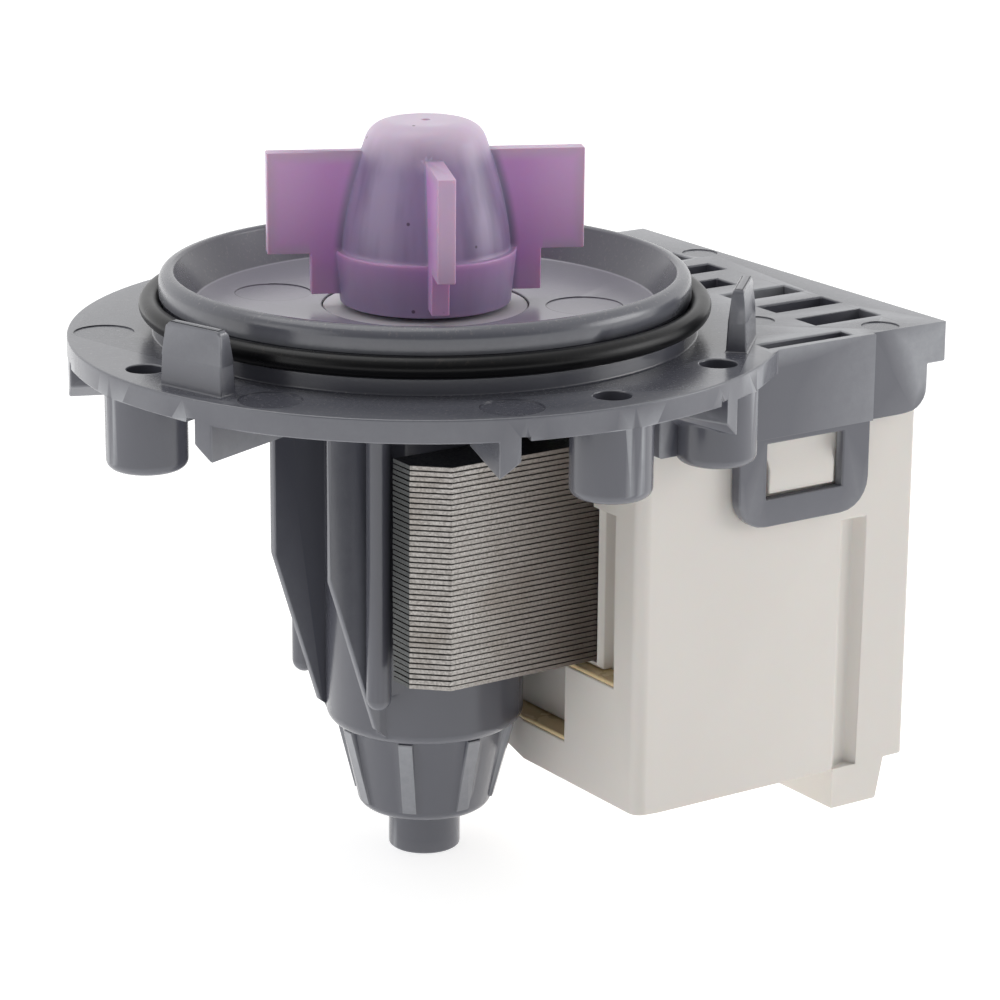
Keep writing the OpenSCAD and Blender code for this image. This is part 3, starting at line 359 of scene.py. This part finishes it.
impellerLook = {
    # the hub's outline and the blades' edges, which the colours follow
    "hubRadius": 10.05 * mm, "shoulderRadius": 7.1 * mm, "hubFoot": 9.7 * mm, "shoulderLevel": 23.0 * mm,
    "hubCurve": 1.55, "bladeRadius": 18.85 * mm, "bladeTop": 21.5 * mm, "bladeStep": 9.45 * mm,
    "stepRadius": (13.4 * mm, 14.0 * mm),
    # each colour, with the range over which it comes in and how much of it shows
    # painted reflection: darker vertical streaks round the hub
    "streakShade": fromScreen(132, 115, 150), "streakScale": (330.0, 330.0, 14.0), "streakAmount": 0.85,
    # painted highlight: the top of the hub paler
    "crownHighlight": fromScreen(230, 210, 232), "crownHighlightRange": (19.5 * mm, 24.6 * mm), "crownHighlightAmount": 0.85,
    "skirt": fromScreen(166, 147, 183), "skirtRange": (9.3 * mm, 10.6 * mm), "skirtAmount": 0.8,
    # painted highlight: a pale band along the skirt's lip
    "skirtLip": 9.6 * mm, "lipRange": (0.1 * mm, 0.6 * mm), "lipAmount": 0.6,
    "deepPink": fromScreen(211, 155, 217), "palePink": fromScreen(222, 176, 225),
    "pinkRange": (10.5 * mm, 17.5 * mm),
    # painted light: paler bands along the blades' edges and feet
    "lightBand": fromScreen(206, 180, 210), "lightBandWidth": 1.7 * mm, "lightBandAmount": 0.9,
    "footRange": (6.0 * mm, 9.5 * mm), "footAmount": 0.45,
    "speck": fromScreen(70, 50, 70), "speckScale": 210.0, "speckAmount": 0.8,
    "gateRadius": 0.5 * mm, "gateRange": (24.0 * mm, 25.0 * mm), "gateAmount": 0.9,
}


def makeImpellerFinish():
    # painted in for the light that thin blades let through: pink near the hub, paler at the outer edges, with
    # painted light bands along the blades' edges, their feet and the skirt's lip; the hub has a painted
    # highlight on its crown and painted reflection streaks
    look = impellerLook
    material, tree, surface, colour = makeMoulded("violetPlastic", violetLook)
    place = objectPlace(tree)
    parts = partsOf(tree, place)
    squares = [mathNode(tree, "MULTIPLY", parts[axis], parts[axis]) for axis in "XY"]
    distance = mathNode(tree, "SQRT", mathNode(tree, "ADD", *squares))
    height = parts["Z"]

    def fadeIn(value, key, amount=1.0):
        return smoothStep(tree, value, *look[key], 0.0, amount)

    def fadeOut(value, key, amount):
        return smoothStep(tree, value, *look[key], amount, 0.0)

    rise = mathNode(tree, "SUBTRACT", height, look["hubFoot"])
    climb = mathNode(tree, "DIVIDE", rise, look["shoulderLevel"] - look["hubFoot"], True)
    drawn = mathNode(tree, "MULTIPLY", mathNode(tree, "POWER", climb, look["hubCurve"]),
                     look["hubRadius"] - look["shoulderRadius"])
    outside = mathNode(tree, "SUBTRACT", distance, mathNode(tree, "SUBTRACT", look["hubRadius"], drawn))
    blade = smoothStep(tree, outside, 0.1 * mm, 1.3 * mm)

    # painted reflection: darker vertical streaks round the hub
    alongZ = addNode(tree, "ShaderNodeMapping", {"Vector": place, "Scale": look["streakScale"]}).outputs[0]
    streaks = smoothStep(tree, noise(tree, 1.0, 2.0, place=alongZ), 0.42, 0.68, 0.0, look["streakAmount"])
    body = mixColour(tree, streaks, colour, look["streakShade"])
    # painted highlight on the hub's crown
    body = mixColour(tree, fadeIn(height, "crownHighlightRange", look["crownHighlightAmount"]), body, look["crownHighlight"])
    skirted = mixColour(tree, fadeOut(height, "skirtRange", look["skirtAmount"]), body, look["skirt"])
    # painted highlight along the skirt's lip
    offLip = mathNode(tree, "ABSOLUTE", mathNode(tree, "SUBTRACT", height, look["skirtLip"]))
    skirted = mixColour(tree, fadeOut(offLip, "lipRange", look["lipAmount"]), skirted, look["lightBand"])

    pink = mixColour(tree, fadeIn(distance, "pinkRange"), look["deepPink"], look["palePink"])
    # painted light: paler bands at the blades' feet, tops, outer ends and step
    pink = mixColour(tree, fadeOut(height, "footRange", look["footAmount"]), pink, look["lightBand"])
    toTop = mathNode(tree, "SUBTRACT", look["bladeTop"], height)
    toEnd = mathNode(tree, "SUBTRACT", look["bladeRadius"], distance)
    toStep = mathNode(tree, "ABSOLUTE", mathNode(tree, "SUBTRACT", height, look["bladeStep"]))
    toStep = mathNode(tree, "ADD", toStep, fadeOut(distance, "stepRadius", 9 * mm))
    nearest = mathNode(tree, "MINIMUM", mathNode(tree, "MINIMUM", toTop, toEnd), toStep)
    edge = smoothStep(tree, nearest, 0.1 * mm, look["lightBandWidth"], look["lightBandAmount"], 0.0)
    tinted = mixColour(tree, blade, skirted, mixColour(tree, edge, pink, look["lightBand"]))

    grit = addNode(tree, "ShaderNodeTexVoronoi", {"Vector": place, "Scale": look["speckScale"]})
    inSpeck = smoothStep(tree, grit.outputs["Distance"], 0.03, 0.06, look["speckAmount"], 0.0)
    specked = mixColour(tree, inSpeck, tinted, look["speck"])
    # the stub in the middle of the top, where the plastic came in
    inGate = smoothStep(tree, distance, look["gateRadius"] * 0.8, look["gateRadius"], look["gateAmount"], 0.0)
    gate = mathNode(tree, "MULTIPLY", inGate, fadeIn(height, "gateRange"))
    tree.links.new(mixColour(tree, gate, specked, look["speck"]), surface.inputs["Base Color"])
    return material


laminationLook = {
    "dark": fromScreen(152, 148, 144), "bright": fromScreen(192, 188, 184), "shearScale": 3200.0,
    "plateDark": fromScreen(148, 143, 138), "plateAmount": 0.35,
    "blotch": fromScreen(132, 122, 112), "blotchScale": 130.0, "blotchAmount": 0.5,
    # painted shade: the stack darker towards +X
    "shadeAlongX": fromScreen(104, 96, 90), "shadeAlongXRange": (-10 * mm, 6 * mm), "shadeAlongXAmount": 0.8,
    # painted shade: the end faces that face -X darker
    "ends": fromScreen(60, 66, 68), "endAmount": 0.85,
    # painted shade: the flat top and bottom faces dark and barely metal
    "flatFaceShade": fromScreen(24, 24, 27), "bareMetal": 0.85, "flatFaceMetal": 0.1,
    "roughness": (0.52, 0.34), "grainStrength": 0.4, "grainDepth": 0.03 * mm,
}


def makeLaminationFinish():
    # sheared sheet edges: bright streaked steel; painted shade darkens the flat faces, the end faces that face
    # -X and the stack towards +X
    look = laminationLook
    material, tree, surface = newFinish("laminationSteel")
    place = objectPlace(tree)
    shear = noise(tree, look["shearScale"], 3.0, 0.6, place)
    sheared = smoothStep(tree, shear, 0.3, 0.7)
    plate = addNode(tree, "ShaderNodeAttribute", attribute_name="plateTone").outputs["Fac"]
    colour = mixColour(tree, sheared, look["dark"], look["bright"])
    colour = mixColour(tree, mathNode(tree, "MULTIPLY", plate, look["plateAmount"]), colour, look["plateDark"])
    blotches = smoothStep(tree, noise(tree, look["blotchScale"], 3.0, place=place),
                          0.45, 0.75, 0.0, look["blotchAmount"])
    colour = mixColour(tree, blotches, colour, look["blotch"])
    # painted shade: darker towards +X
    shadeAlongX = smoothStep(tree, partsOf(tree, place)["X"], *look["shadeAlongXRange"], 0.0, look["shadeAlongXAmount"])
    colour = mixColour(tree, shadeAlongX, colour, look["shadeAlongX"])
    facing = normalParts(tree)
    # painted shade on the end faces that face -X
    ends = smoothStep(tree, facing["X"], -0.75, -0.95, 0.0, look["endAmount"])
    colour = mixColour(tree, ends, colour, look["ends"])
    # painted shade: the flat faces dark
    level = mathNode(tree, "ABSOLUTE", facing["Z"])
    colour = mixColour(tree, smoothStep(tree, level, 0.6, 0.9), colour, look["flatFaceShade"])
    metal = smoothStep(tree, level, 0.6, 0.9, look["bareMetal"], look["flatFaceMetal"])
    tree.links.new(colour, surface.inputs["Base Color"])
    tree.links.new(metal, surface.inputs["Metallic"])
    tree.links.new(smoothStep(tree, shear, 0.3, 0.7, *look["roughness"]), surface.inputs["Roughness"])
    addBump(tree, surface, shear, look["grainStrength"], look["grainDepth"])
    return material


finishes = {
    "grey_plastic": makeHousingFinish(),
    "black_rubber": makeMoulded("blackRubber", rubberLook)[0],
    "white_plastic": makeMoulded("whitePlastic", whiteLook)[0],
    "ivory_plastic": makeMoulded("ivoryPlastic", ivoryLook)[0],
    "violet_plastic": makeImpellerFinish(),
    "carbon_bearing": makeMoulded("carbonBearing", carbonLook)[0],
    "lamination_steel": makeLaminationFinish(),
    "rivet_steel": makeMetal("rivetSteel", rivetLook),
    "shaft_steel": makeMetal("shaftSteel", steelLook),
    "copper_wire": makeMetal("copperWire", copperLook),
    "amber_resin": makeMoulded("amberResin", resinLook)[0],
    "tinned_brass": makeMetal("tinnedBrass", brassLook),
    "ferrite": makeMoulded("ferrite", ferriteLook)[0],
    "bronze_washer": makeMetal("bronzeWasher", bronzeLook),
}
print("finishes ready")


# Pieces

slotOfNode = {part["node"]: part["material_slot"] for part in frame["record"]["subparts"]}


def plainMesh(piece, name):
    # the evaluated result as a mesh of its own, with no modifier left on the piece
    bpy.context.view_layer.update()
    graph = bpy.context.evaluated_depsgraph_get()
    mesh = bpy.data.meshes.new_from_object(
        piece.evaluated_get(graph), preserve_all_data_layers=True, depsgraph=graph)
    mesh.name = name
    piece.modifiers.clear()
    piece.data = mesh


roundingSettings = {
    # degrees: edges above the first are rounded, and edges above the second are shaded as hard
    "crease": 35, "smooth": 38,
    "flatness": 0.6,                # degrees within which neighbouring faces become one
    "merge": 0.002 * mm, "steps": 2,
}


def isNarrow(face, room):
    # true for a thin ring or strip of many corners, which has no room for a rounding on both sides
    if len(face.verts) < 9:
        return False
    half = face.calc_perimeter() / 2
    width = (half - math.sqrt(max(half * half - 4 * face.calc_area(), 0.0))) / 2
    return width < 0.9 * room


def edgesWithRoom(form, room):
    # sharp edges with enough surface beside them for the rounding
    crease = math.radians(roundingSettings["crease"])
    narrow = {face for face in form.faces if isNarrow(face, room)}
    sharp = [edge for edge in form.edges
             if len(edge.link_faces) == 2 and edge.calc_face_angle(0) > crease
             and not narrow.intersection(edge.link_faces)]
    chosen = []
    for edge in sharp:
        along = (edge.verts[1].co - edge.verts[0].co).normalized()
        beside = [other for vert in edge.verts for other in vert.link_edges if other is not edge]
        clear = True
        for other in beside:
            direction = (other.verts[1].co - other.verts[0].co).normalized()
            if abs(direction.dot(along)) < 0.94 and other.calc_length() < room:
                clear = False
        if clear:
            chosen.append(edge)
    return chosen


def mergedForm(node):
    form = bmesh.new()
    form.from_mesh(frame["nodes"][node].data)
    bmesh.ops.remove_doubles(form, verts=form.verts, dist=roundingSettings["merge"])
    return form


def roundedMesh(node, look):
    settings = roundingSettings
    form = mergedForm(node)
    bmesh.ops.dissolve_limit(
        form, angle_limit=math.radians(settings["flatness"]), verts=form.verts, edges=form.edges)
    chosen = edgesWithRoom(form, look["room"])
    bmesh.ops.bevel(form, geom=chosen, offset=look["rounding"], offset_type="OFFSET", segments=settings["steps"],
                    profile=0.5, affect="EDGES", clamp_overlap=False, loop_slide=True)
    mesh = bpy.data.meshes.new(node + "Mesh")
    form.to_mesh(mesh)
    print(node, "edges rounded:", len(chosen), "faces:", len(form.faces))
    form.free()
    mesh.shade_smooth()
    mesh.set_sharp_from_angle(angle=math.radians(settings["smooth"]))
    return mesh


bodyOfNode = {node: body for body, nodes in frame["record"]["behaviour"]["bodies"].items() for node in nodes}


def finishPiece(piece, node):
    # the piece takes the node's place: its body, and the finish that the node's slot in the record names
    piece.data.materials.clear()
    piece.data.materials.append(finishes[slotOfNode[node]])
    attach(piece, bodyOfNode[node])
    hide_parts(node)


roundedPieces = {
    "pump_housing": {"piece": "pumpHousing", "rounding": 0.22 * mm, "room": 0.5 * mm},
    "coil_housing": {"piece": "coilHousing", "rounding": 0.25 * mm, "room": 0.55 * mm},
    "impeller": {"piece": "impellerMoulding", "rounding": 0.15 * mm, "room": 0.35 * mm},
    "seal_cap": {"piece": "sealCap", "rounding": 0.2 * mm, "room": 0.45 * mm},
    "bearing_holder": {"piece": "bearingHolder", "rounding": 0.15 * mm, "room": 0.35 * mm},
    "shaft_seal": {"piece": "shaftSeal", "rounding": 0.12 * mm, "room": 0.3 * mm},
    "left_bobbin": {"piece": "leftBobbin", "rounding": 0.12 * mm, "room": 0.3 * mm},
    "right_bobbin": {"piece": "rightBobbin", "rounding": 0.12 * mm, "room": 0.3 * mm},
    "left_terminal": {"piece": "leftTerminal", "rounding": 0.12 * mm, "room": 0.25 * mm},
    "right_terminal": {"piece": "rightTerminal", "rounding": 0.12 * mm, "room": 0.25 * mm},
    "potting_resin": {"piece": "pottingResin", "rounding": 0.2 * mm, "room": 0.45 * mm},
    "magnet_carrier": {"piece": "magnetCarrier", "rounding": 0.2 * mm, "room": 0.45 * mm},
    "rotor_magnet": {"piece": "rotorMagnet", "rounding": 0.2 * mm, "room": 0.45 * mm},
    "clutch_driver": {"piece": "clutchDriver", "rounding": 0.15 * mm, "room": 0.35 * mm},
    "clutch_bumper": {"piece": "clutchBumper", "rounding": 0.1 * mm, "room": 0.25 * mm},
    "hub_bush": {"piece": "hubBush", "rounding": 0.15 * mm, "room": 0.35 * mm},
    "rear_bearing_rubber": {"piece": "rearBearingRubber", "rounding": 0.15 * mm, "room": 0.35 * mm},
}


def dressRounded():
    for node, look in roundedPieces.items():
        mesh = roundedMesh(node, look)
        piece = bpy.data.objects.new(look["piece"], mesh)
        bpy.context.collection.objects.link(piece)
        weighted = piece.modifiers.new("evenShading", "WEIGHTED_NORMAL")
        weighted.keep_sharp = True
        plainMesh(piece, look["piece"] + "Mesh")
        finishPiece(piece, node)


dressRounded()
print("rounded pieces ready")


# Pieces that repeat or follow a rule, made with Geometry Nodes

def newGeometryTree(name, inputs):
    geometry = ("Geometry", "NodeSocketGeometry", None)
    tree, given, result = newGroup(
        name, "GeometryNodeTree", [geometry] + inputs, [("Geometry", "NodeSocketGeometry")])
    tree.is_modifier = True
    return tree, given.outputs, result


def endTree(tree, geometry, result, given):
    # instances become real faces, in the piece's finish
    whole = addNode(tree, "GeometryNodeRealizeInstances", {0: geometry}).outputs[0]
    painted = addNode(tree, "GeometryNodeSetMaterial", {"Geometry": whole, "Material": given["Finish"]})
    tree.links.new(painted.outputs[0], result.inputs[0])


def runTree(name, mesh, tree, values, node):
    piece = bpy.data.objects.new(name, mesh)
    bpy.context.collection.objects.link(piece)
    modifier = piece.modifiers.new(name + "Tree", "NODES")
    modifier.node_group = tree
    values = dict(values, Finish=finishes[slotOfNode[node]])
    for item in tree.interface.items_tree:
        if item.in_out == "INPUT" and item.name in values:
            modifier[item.identifier] = values[item.name]
    plainMesh(piece, name + "Mesh")
    finishPiece(piece, node)
    return piece


# the core: single plates, each a little out of place, round a filler that closes the gaps
coreLook = {
    "plates": 42, "plateThickness": 0.53 * mm, "plateEdge": 0.07 * mm,
    "shift": 0.03 * mm, "turn": 0.0006, "seed": 4,
    "poleRadius": 12.4 * mm, "slotHalfWidth": 10.1 * mm, "slotEnd": 40.4 * mm,
    "chamferX": 3.6 * mm, "chamferY": 3.4 * mm, "backReach": 8.8 * mm, "fillerInset": 0.22 * mm,
}


def randomVector(tree, axes, size, seed):
    # a different vector for each point, up to the size either way along the axes
    back = tuple(-part for part in axes)
    return addNode(tree, "FunctionNodeRandomValue", {
        0: scaled(tree, back, size), 1: scaled(tree, axes, size), "Seed": seed},
        data_type="FLOAT_VECTOR").outputs[0]


def coreOutline(look, inset):
    low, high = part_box("core_stack")
    radius, slotHalf = look["poleRadius"] + inset, look["slotHalfWidth"] + inset
    left, right, side = low.x + inset, high.x - inset, high.y - inset
    first = math.asin(slotHalf / radius)
    pole = [(look["slotEnd"] + inset, slotHalf)]
    for step in range(9):
        angle = first + (math.pi / 2 - first) * step / 8
        pole.append((radius * math.cos(angle), radius * math.sin(angle)))

    def leg(end):
        chamfer = [(end, side - look["chamferY"]), (end + look["chamferX"], side)]
        return pole + [(end, radius)] + chamfer + [(right, side)]

    return leg(-look["backReach"] + inset) + [(x, -y) for x, y in reversed(leg(left))]


def addPrism(form, outline, bottom, top, edge):
    face = form.faces.new([form.verts.new((x, y, bottom)) for x, y in reversed(outline)])
    raised = bmesh.ops.extrude_face_region(form, geom=[face])["geom"]
    ring = [item for item in raised if isinstance(item, bmesh.types.BMVert)]
    bmesh.ops.translate(form, verts=ring, vec=(0, 0, top - bottom))
    bmesh.ops.recalc_face_normals(form, faces=form.faces)
    if edge:
        rims = [item for item in form.edges if abs(item.verts[0].co.z - item.verts[1].co.z) < 1e-9]
        bmesh.ops.bevel(form, geom=rims, offset=edge, segments=2, profile=0.5, affect="EDGES")


def makeCoreStack():
    look = coreLook
    low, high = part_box("core_stack")
    pitch = (high.z - low.z) / look["plates"]
    form = bmesh.new()
    half = look["plateThickness"] / 2
    addPrism(form, coreOutline(look, 0.0), -half, half, look["plateEdge"])
    plate = bpy.data.meshes.new("laminationMesh")
    form.to_mesh(plate)
    form.free()
    tree, given, result = newGeometryTree("laminationStack", [
        ("Plates", "NodeSocketInt", 42), ("Pitch", "NodeSocketFloat", 0.65 * mm),
        ("First level", "NodeSocketFloat", 0.0), ("Shift", "NodeSocketFloat", 0.0),
        ("Turn", "NodeSocketFloat", 0.0), ("Seed", "NodeSocketInt", 0), ("Finish", "NodeSocketMaterial", None)])
    start = addNode(tree, "ShaderNodeCombineXYZ", {"Z": given["First level"]}).outputs[0]
    step = addNode(tree, "ShaderNodeCombineXYZ", {"Z": given["Pitch"]}).outputs[0]
    line = addNode(tree, "GeometryNodeMeshLine", {
        "Count": given["Plates"], "Start Location": start, "Offset": step}).outputs[0]
    drift = randomVector(tree, (1, 1, 0), given["Shift"], given["Seed"])
    moved = addNode(tree, "GeometryNodeSetPosition", {"Geometry": line, "Offset": drift}).outputs[0]
    swing = randomVector(tree, (0, 0, 1), given["Turn"], given["Seed"])
    placed = addNode(tree, "GeometryNodeInstanceOnPoints", {
        "Points": moved, "Instance": given["Geometry"], "Rotation": swing}).outputs[0]
    tone = addNode(tree, "FunctionNodeRandomValue", {2: 0.0, 3: 1.0, "Seed": given["Seed"]}, data_type="FLOAT")
    marked = addNode(tree, "GeometryNodeStoreNamedAttribute", {
        "Geometry": placed, "Name": "plateTone", "Value": tone.outputs[1]},
        data_type="FLOAT", domain="INSTANCE").outputs[0]
    endTree(tree, marked, result, given)
    stack = runTree("laminatedCore", plate, tree, {
        "Plates": look["plates"], "Pitch": pitch, "First level": low.z + pitch / 2,
        "Shift": look["shift"], "Turn": look["turn"], "Seed": look["seed"]}, "core_stack")
    filler = bmesh.new()
    addPrism(filler, coreOutline(look, look["fillerInset"]), low.z + pitch / 2, high.z - pitch / 2, 0)
    fillerMesh = bpy.data.meshes.new("coreFillerMesh")
    filler.to_mesh(fillerMesh)
    filler.free()
    joined = bmesh.new()
    joined.from_mesh(stack.data)
    joined.from_mesh(fillerMesh)
    joined.to_mesh(stack.data)
    joined.free()


makeCoreStack()


ringLook = {"steps": 180, "sides": 28, "sag": 0.02 * mm, "waveScale": 60.0}


def makeSealingRing():
    low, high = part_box("o_ring")
    section = (high.z - low.z) / 2
    tree, given, result = newGeometryTree("roundRing", [
        ("Ring radius", "NodeSocketFloat", 30 * mm), ("Section radius", "NodeSocketFloat", 1.5 * mm),
        ("Level", "NodeSocketFloat", 0.0), ("Steps", "NodeSocketInt", 180), ("Sides", "NodeSocketInt", 28),
        ("Unevenness", "NodeSocketFloat", 0.0), ("Finish", "NodeSocketMaterial", None)])
    circle = addNode(tree, "GeometryNodeCurvePrimitiveCircle", {
        "Resolution": given["Steps"], "Radius": given["Ring radius"]}, mode="RADIUS").outputs[0]
    profile = addNode(tree, "GeometryNodeCurvePrimitiveCircle", {
        "Resolution": given["Sides"], "Radius": given["Section radius"]}, mode="RADIUS").outputs[0]
    tube = addNode(tree, "GeometryNodeCurveToMesh", {"Curve": circle, "Profile Curve": profile}).outputs[0]
    waves = noise(tree, ringLook["waveScale"], 1.0)
    amount = mathNode(tree, "MULTIPLY", mathNode(tree, "SUBTRACT", waves, 1.0), given["Unevenness"])
    normal = addNode(tree, "GeometryNodeInputNormal").outputs[0]
    inward = scaled(tree, normal, amount)
    uneven = addNode(tree, "GeometryNodeSetPosition", {"Geometry": tube, "Offset": inward}).outputs[0]
    lift = addNode(tree, "ShaderNodeCombineXYZ", {"Z": given["Level"]}).outputs[0]
    lifted = addNode(tree, "GeometryNodeTransform", {"Geometry": uneven, "Translation": lift}).outputs[0]
    smooth = addNode(tree, "GeometryNodeSetShadeSmooth", {"Geometry": lifted}).outputs[0]
    endTree(tree, smooth, result, given)
    runTree("sealingRing", bpy.data.meshes.new("ringStart"), tree, {
        "Ring radius": high.x - section, "Section radius": section, "Level": (low.z + high.z) / 2,
        "Steps": ringLook["steps"], "Sides": ringLook["sides"], "Unevenness": ringLook["sag"]}, "o_ring")


makeSealingRing()


coilLook = {
    "wire": 0.42 * mm, "corner": 3.6 * mm, "sides": 6,
    "sunk": 0.3 * mm,                       # how far the coil's body lies below its outer turns
    "spacing": 1.06, "margin": 0.02 * mm,   # between turns, in wires, and at both ends
}


def makeCoil(node, name):
    low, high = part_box(node)
    wire, margin = coilLook["wire"], coilLook["margin"]
    tree, given, result = newGeometryTree(name + "Turns", [
        ("Width", "NodeSocketFloat", 20 * mm), ("Height", "NodeSocketFloat", 30 * mm),
        ("Corner", "NodeSocketFloat", 3 * mm), ("Middle", "NodeSocketVector", None),
        ("Turns", "NodeSocketInt", 40), ("Pitch", "NodeSocketFloat", 0.5 * mm),
        ("Wire radius", "NodeSocketFloat", 0.2 * mm), ("Sides", "NodeSocketInt", 6),
        ("Sunk", "NodeSocketFloat", 0.3 * mm), ("Finish", "NodeSocketMaterial", None)])
    quad = addNode(tree, "GeometryNodeCurvePrimitiveQuadrilateral", {
        "Width": given["Width"], "Height": given["Height"]}, mode="RECTANGLE").outputs[0]
    rounded = addNode(tree, "GeometryNodeFilletCurve", {
        "Curve": quad, "Radius": given["Corner"], "Count": 4}, mode="POLY").outputs[0]
    upright = addNode(tree, "GeometryNodeTransform", {
        "Geometry": rounded, "Rotation": (math.pi / 2, 0, math.pi / 2)}).outputs[0]
    profile = addNode(tree, "GeometryNodeCurvePrimitiveCircle", {
        "Resolution": given["Sides"], "Radius": given["Wire radius"]}, mode="RADIUS").outputs[0]
    turn = addNode(tree, "GeometryNodeCurveToMesh", {"Curve": upright, "Profile Curve": profile}).outputs[0]
    step = addNode(tree, "ShaderNodeCombineXYZ", {"X": given["Pitch"]}).outputs[0]
    line = addNode(tree, "GeometryNodeMeshLine", {
        "Count": given["Turns"], "Start Location": given["Middle"], "Offset": step}).outputs[0]
    turns = addNode(tree, "GeometryNodeInstanceOnPoints", {"Points": line, "Instance": turn}).outputs[0]
    normal = addNode(tree, "GeometryNodeInputNormal").outputs[0]
    inward = scaled(tree, normal, mathNode(tree, "MULTIPLY", given["Sunk"], -1.0))
    body = addNode(tree, "GeometryNodeSetPosition", {"Geometry": given["Geometry"], "Offset": inward}).outputs[0]
    whole = addNode(tree, "GeometryNodeJoinGeometry", {0: turns})
    tree.links.new(body, whole.inputs[0])
    endTree(tree, whole.outputs[0], result, given)
    form = mergedForm(node)
    mesh = bpy.data.meshes.new(name + "Body")
    form.to_mesh(mesh)
    form.free()
    count = int((high.x - low.x - wire) / (wire * coilLook["spacing"]))
    runTree(name, mesh, tree, {
        "Width": high.y - low.y - wire, "Height": high.z - low.z - wire, "Corner": coilLook["corner"],
        "Middle": (low.x + wire / 2 + margin, (low.y + high.y) / 2, (low.z + high.z) / 2),
        "Turns": count, "Pitch": (high.x - low.x - wire - 2 * margin) / (count - 1), "Wire radius": wire / 2,
        "Sides": coilLook["sides"], "Sunk": coilLook["sunk"]}, node)


makeCoil("left_winding", "leftCoil")
makeCoil("right_winding", "rightCoil")
print("repeated pieces ready")


# Floor, world and lights

stageSettings = {
    "floorLevel": -65.8 * mm,
    "floorSize": 6.0,
    "floorColour": (0.72, 0.72, 0.72, 1.0),
    "floorWhite": 0.70,                  # the floor's own white where the camera or a reflection sees it
    "floorGlow": 0.60,                   # and for the light that it gives, since it is a light table
    "backdrop": (0.560, 0.828, 0.0),     # direction of the bright white backdrop
    "backdropLevel": 1.2,
    "roomLevel": 0.14,                   # the dim room on the other side
    "ceilingLevel": 0.40,
    # each lamp's place, size and power; all of them point at the part
    "lamps": {
        "overheadSoftbox": ((-0.1, 0.25, 0.85), 0.8, 2.0),
        "rightSoftbox": ((1.0, -0.65, 0.2), 0.7, 3.6),
        "leftSoftbox": ((-1.0, 0.0, 0.25), 0.7, 1.2),
    },
    "lampAim": (0.0, 0.0, -0.02),
}


def seenDirectly(tree, reflected=1.0):
    # 1 for rays from the camera or through a clear piece, and the given share of reflected ones
    path = tree.nodes.new("ShaderNodeLightPath").outputs
    glossy = mathNode(tree, "MULTIPLY", path["Is Glossy Ray"], reflected)
    direct = mathNode(tree, "MAXIMUM", path["Is Camera Ray"], path["Is Transmission Ray"])
    return mathNode(tree, "MAXIMUM", direct, glossy)


def makeStage():
    mesh = bpy.data.meshes.new("floorMesh")
    half = stageSettings["floorSize"] / 2
    level = stageSettings["floorLevel"]
    mesh.from_pydata([(-half, -half, level), (half, -half, level), (half, half, level), (-half, half, level)],
                     [], [(0, 1, 2, 3)])
    floor = bpy.data.objects.new("floor", mesh)
    bpy.context.collection.objects.link(floor)
    material = bpy.data.materials.new("lightTable")
    material.use_nodes = True
    tree = material.node_tree
    tree.nodes.clear()
    output = tree.nodes.new("ShaderNodeOutputMaterial")
    glow = addNode(tree, "ShaderNodeMix", {
        0: seenDirectly(tree), 2: stageSettings["floorGlow"], 3: stageSettings["floorWhite"]},
        data_type="FLOAT").outputs[0]
    lit = addNode(tree, "ShaderNodeAddShader", {
        0: addNode(tree, "ShaderNodeBsdfDiffuse", {"Color": stageSettings["floorColour"]}).outputs[0],
        1: addNode(tree, "ShaderNodeEmission", {"Strength": glow}).outputs[0]})
    tree.links.new(lit.outputs[0], output.inputs["Surface"])
    mesh.materials.append(material)


def makeWorld():
    world = bpy.data.worlds.new("whiteStudio")
    bpy.context.scene.world = world
    world.use_nodes = True
    tree = world.node_tree
    tree.nodes.clear()
    output = tree.nodes.new("ShaderNodeOutputWorld")
    towards = addNode(tree, "ShaderNodeTexCoord").outputs["Generated"]
    facing = addNode(tree, "ShaderNodeVectorMath", {0: towards, 1: stageSettings["backdrop"]},
                     operation="DOT_PRODUCT").outputs["Value"]
    behind = smoothStep(tree, facing, -0.8, 0.3)
    brighter = stageSettings["backdropLevel"] - stageSettings["roomLevel"]
    around = mathNode(tree, "ADD", mathNode(tree, "MULTIPLY", behind, brighter), stageSettings["roomLevel"])
    above = smoothStep(tree, partsOf(tree, towards)["Z"], 0.35, 0.8)
    level = addNode(tree, "ShaderNodeMix", {0: above, 2: around, 3: stageSettings["ceilingLevel"]},
                    data_type="FLOAT").outputs[0]
    studio = addNode(tree, "ShaderNodeBackground", {"Color": (1, 1, 1, 1), "Strength": level})
    white = addNode(tree, "ShaderNodeBackground", {"Color": (1, 1, 1, 1), "Strength": 1.0})
    mixed = addNode(tree, "ShaderNodeMixShader", {
        0: seenDirectly(tree, behind), 1: studio.outputs[0], 2: white.outputs[0]})
    tree.links.new(mixed.outputs[0], output.inputs["Surface"])


def makeLamp(name, place, size, power):
    data = bpy.data.lights.new(name, "AREA")
    data.shape = "DISK"
    data.size = size
    data.energy = power
    lamp = bpy.data.objects.new(name, data)
    bpy.context.collection.objects.link(lamp)
    lamp.location = place
    aim = Vector(stageSettings["lampAim"]) - Vector(place)
    lamp.rotation_mode = "QUATERNION"
    lamp.rotation_quaternion = aim.to_track_quat("-Z", "Y")


makeStage()
makeWorld()
for lampName, lampValues in stageSettings["lamps"].items():
    makeLamp(lampName, *lampValues)
print("stage ready")


# Every CAD node that still shows gets its finish

for nodeName, node in frame["nodes"].items():
    for materialSlot in node.material_slots:
        materialSlot.material = finishes[slotOfNode[nodeName]]

bpy.context.scene.view_settings.view_transform = "Standard"
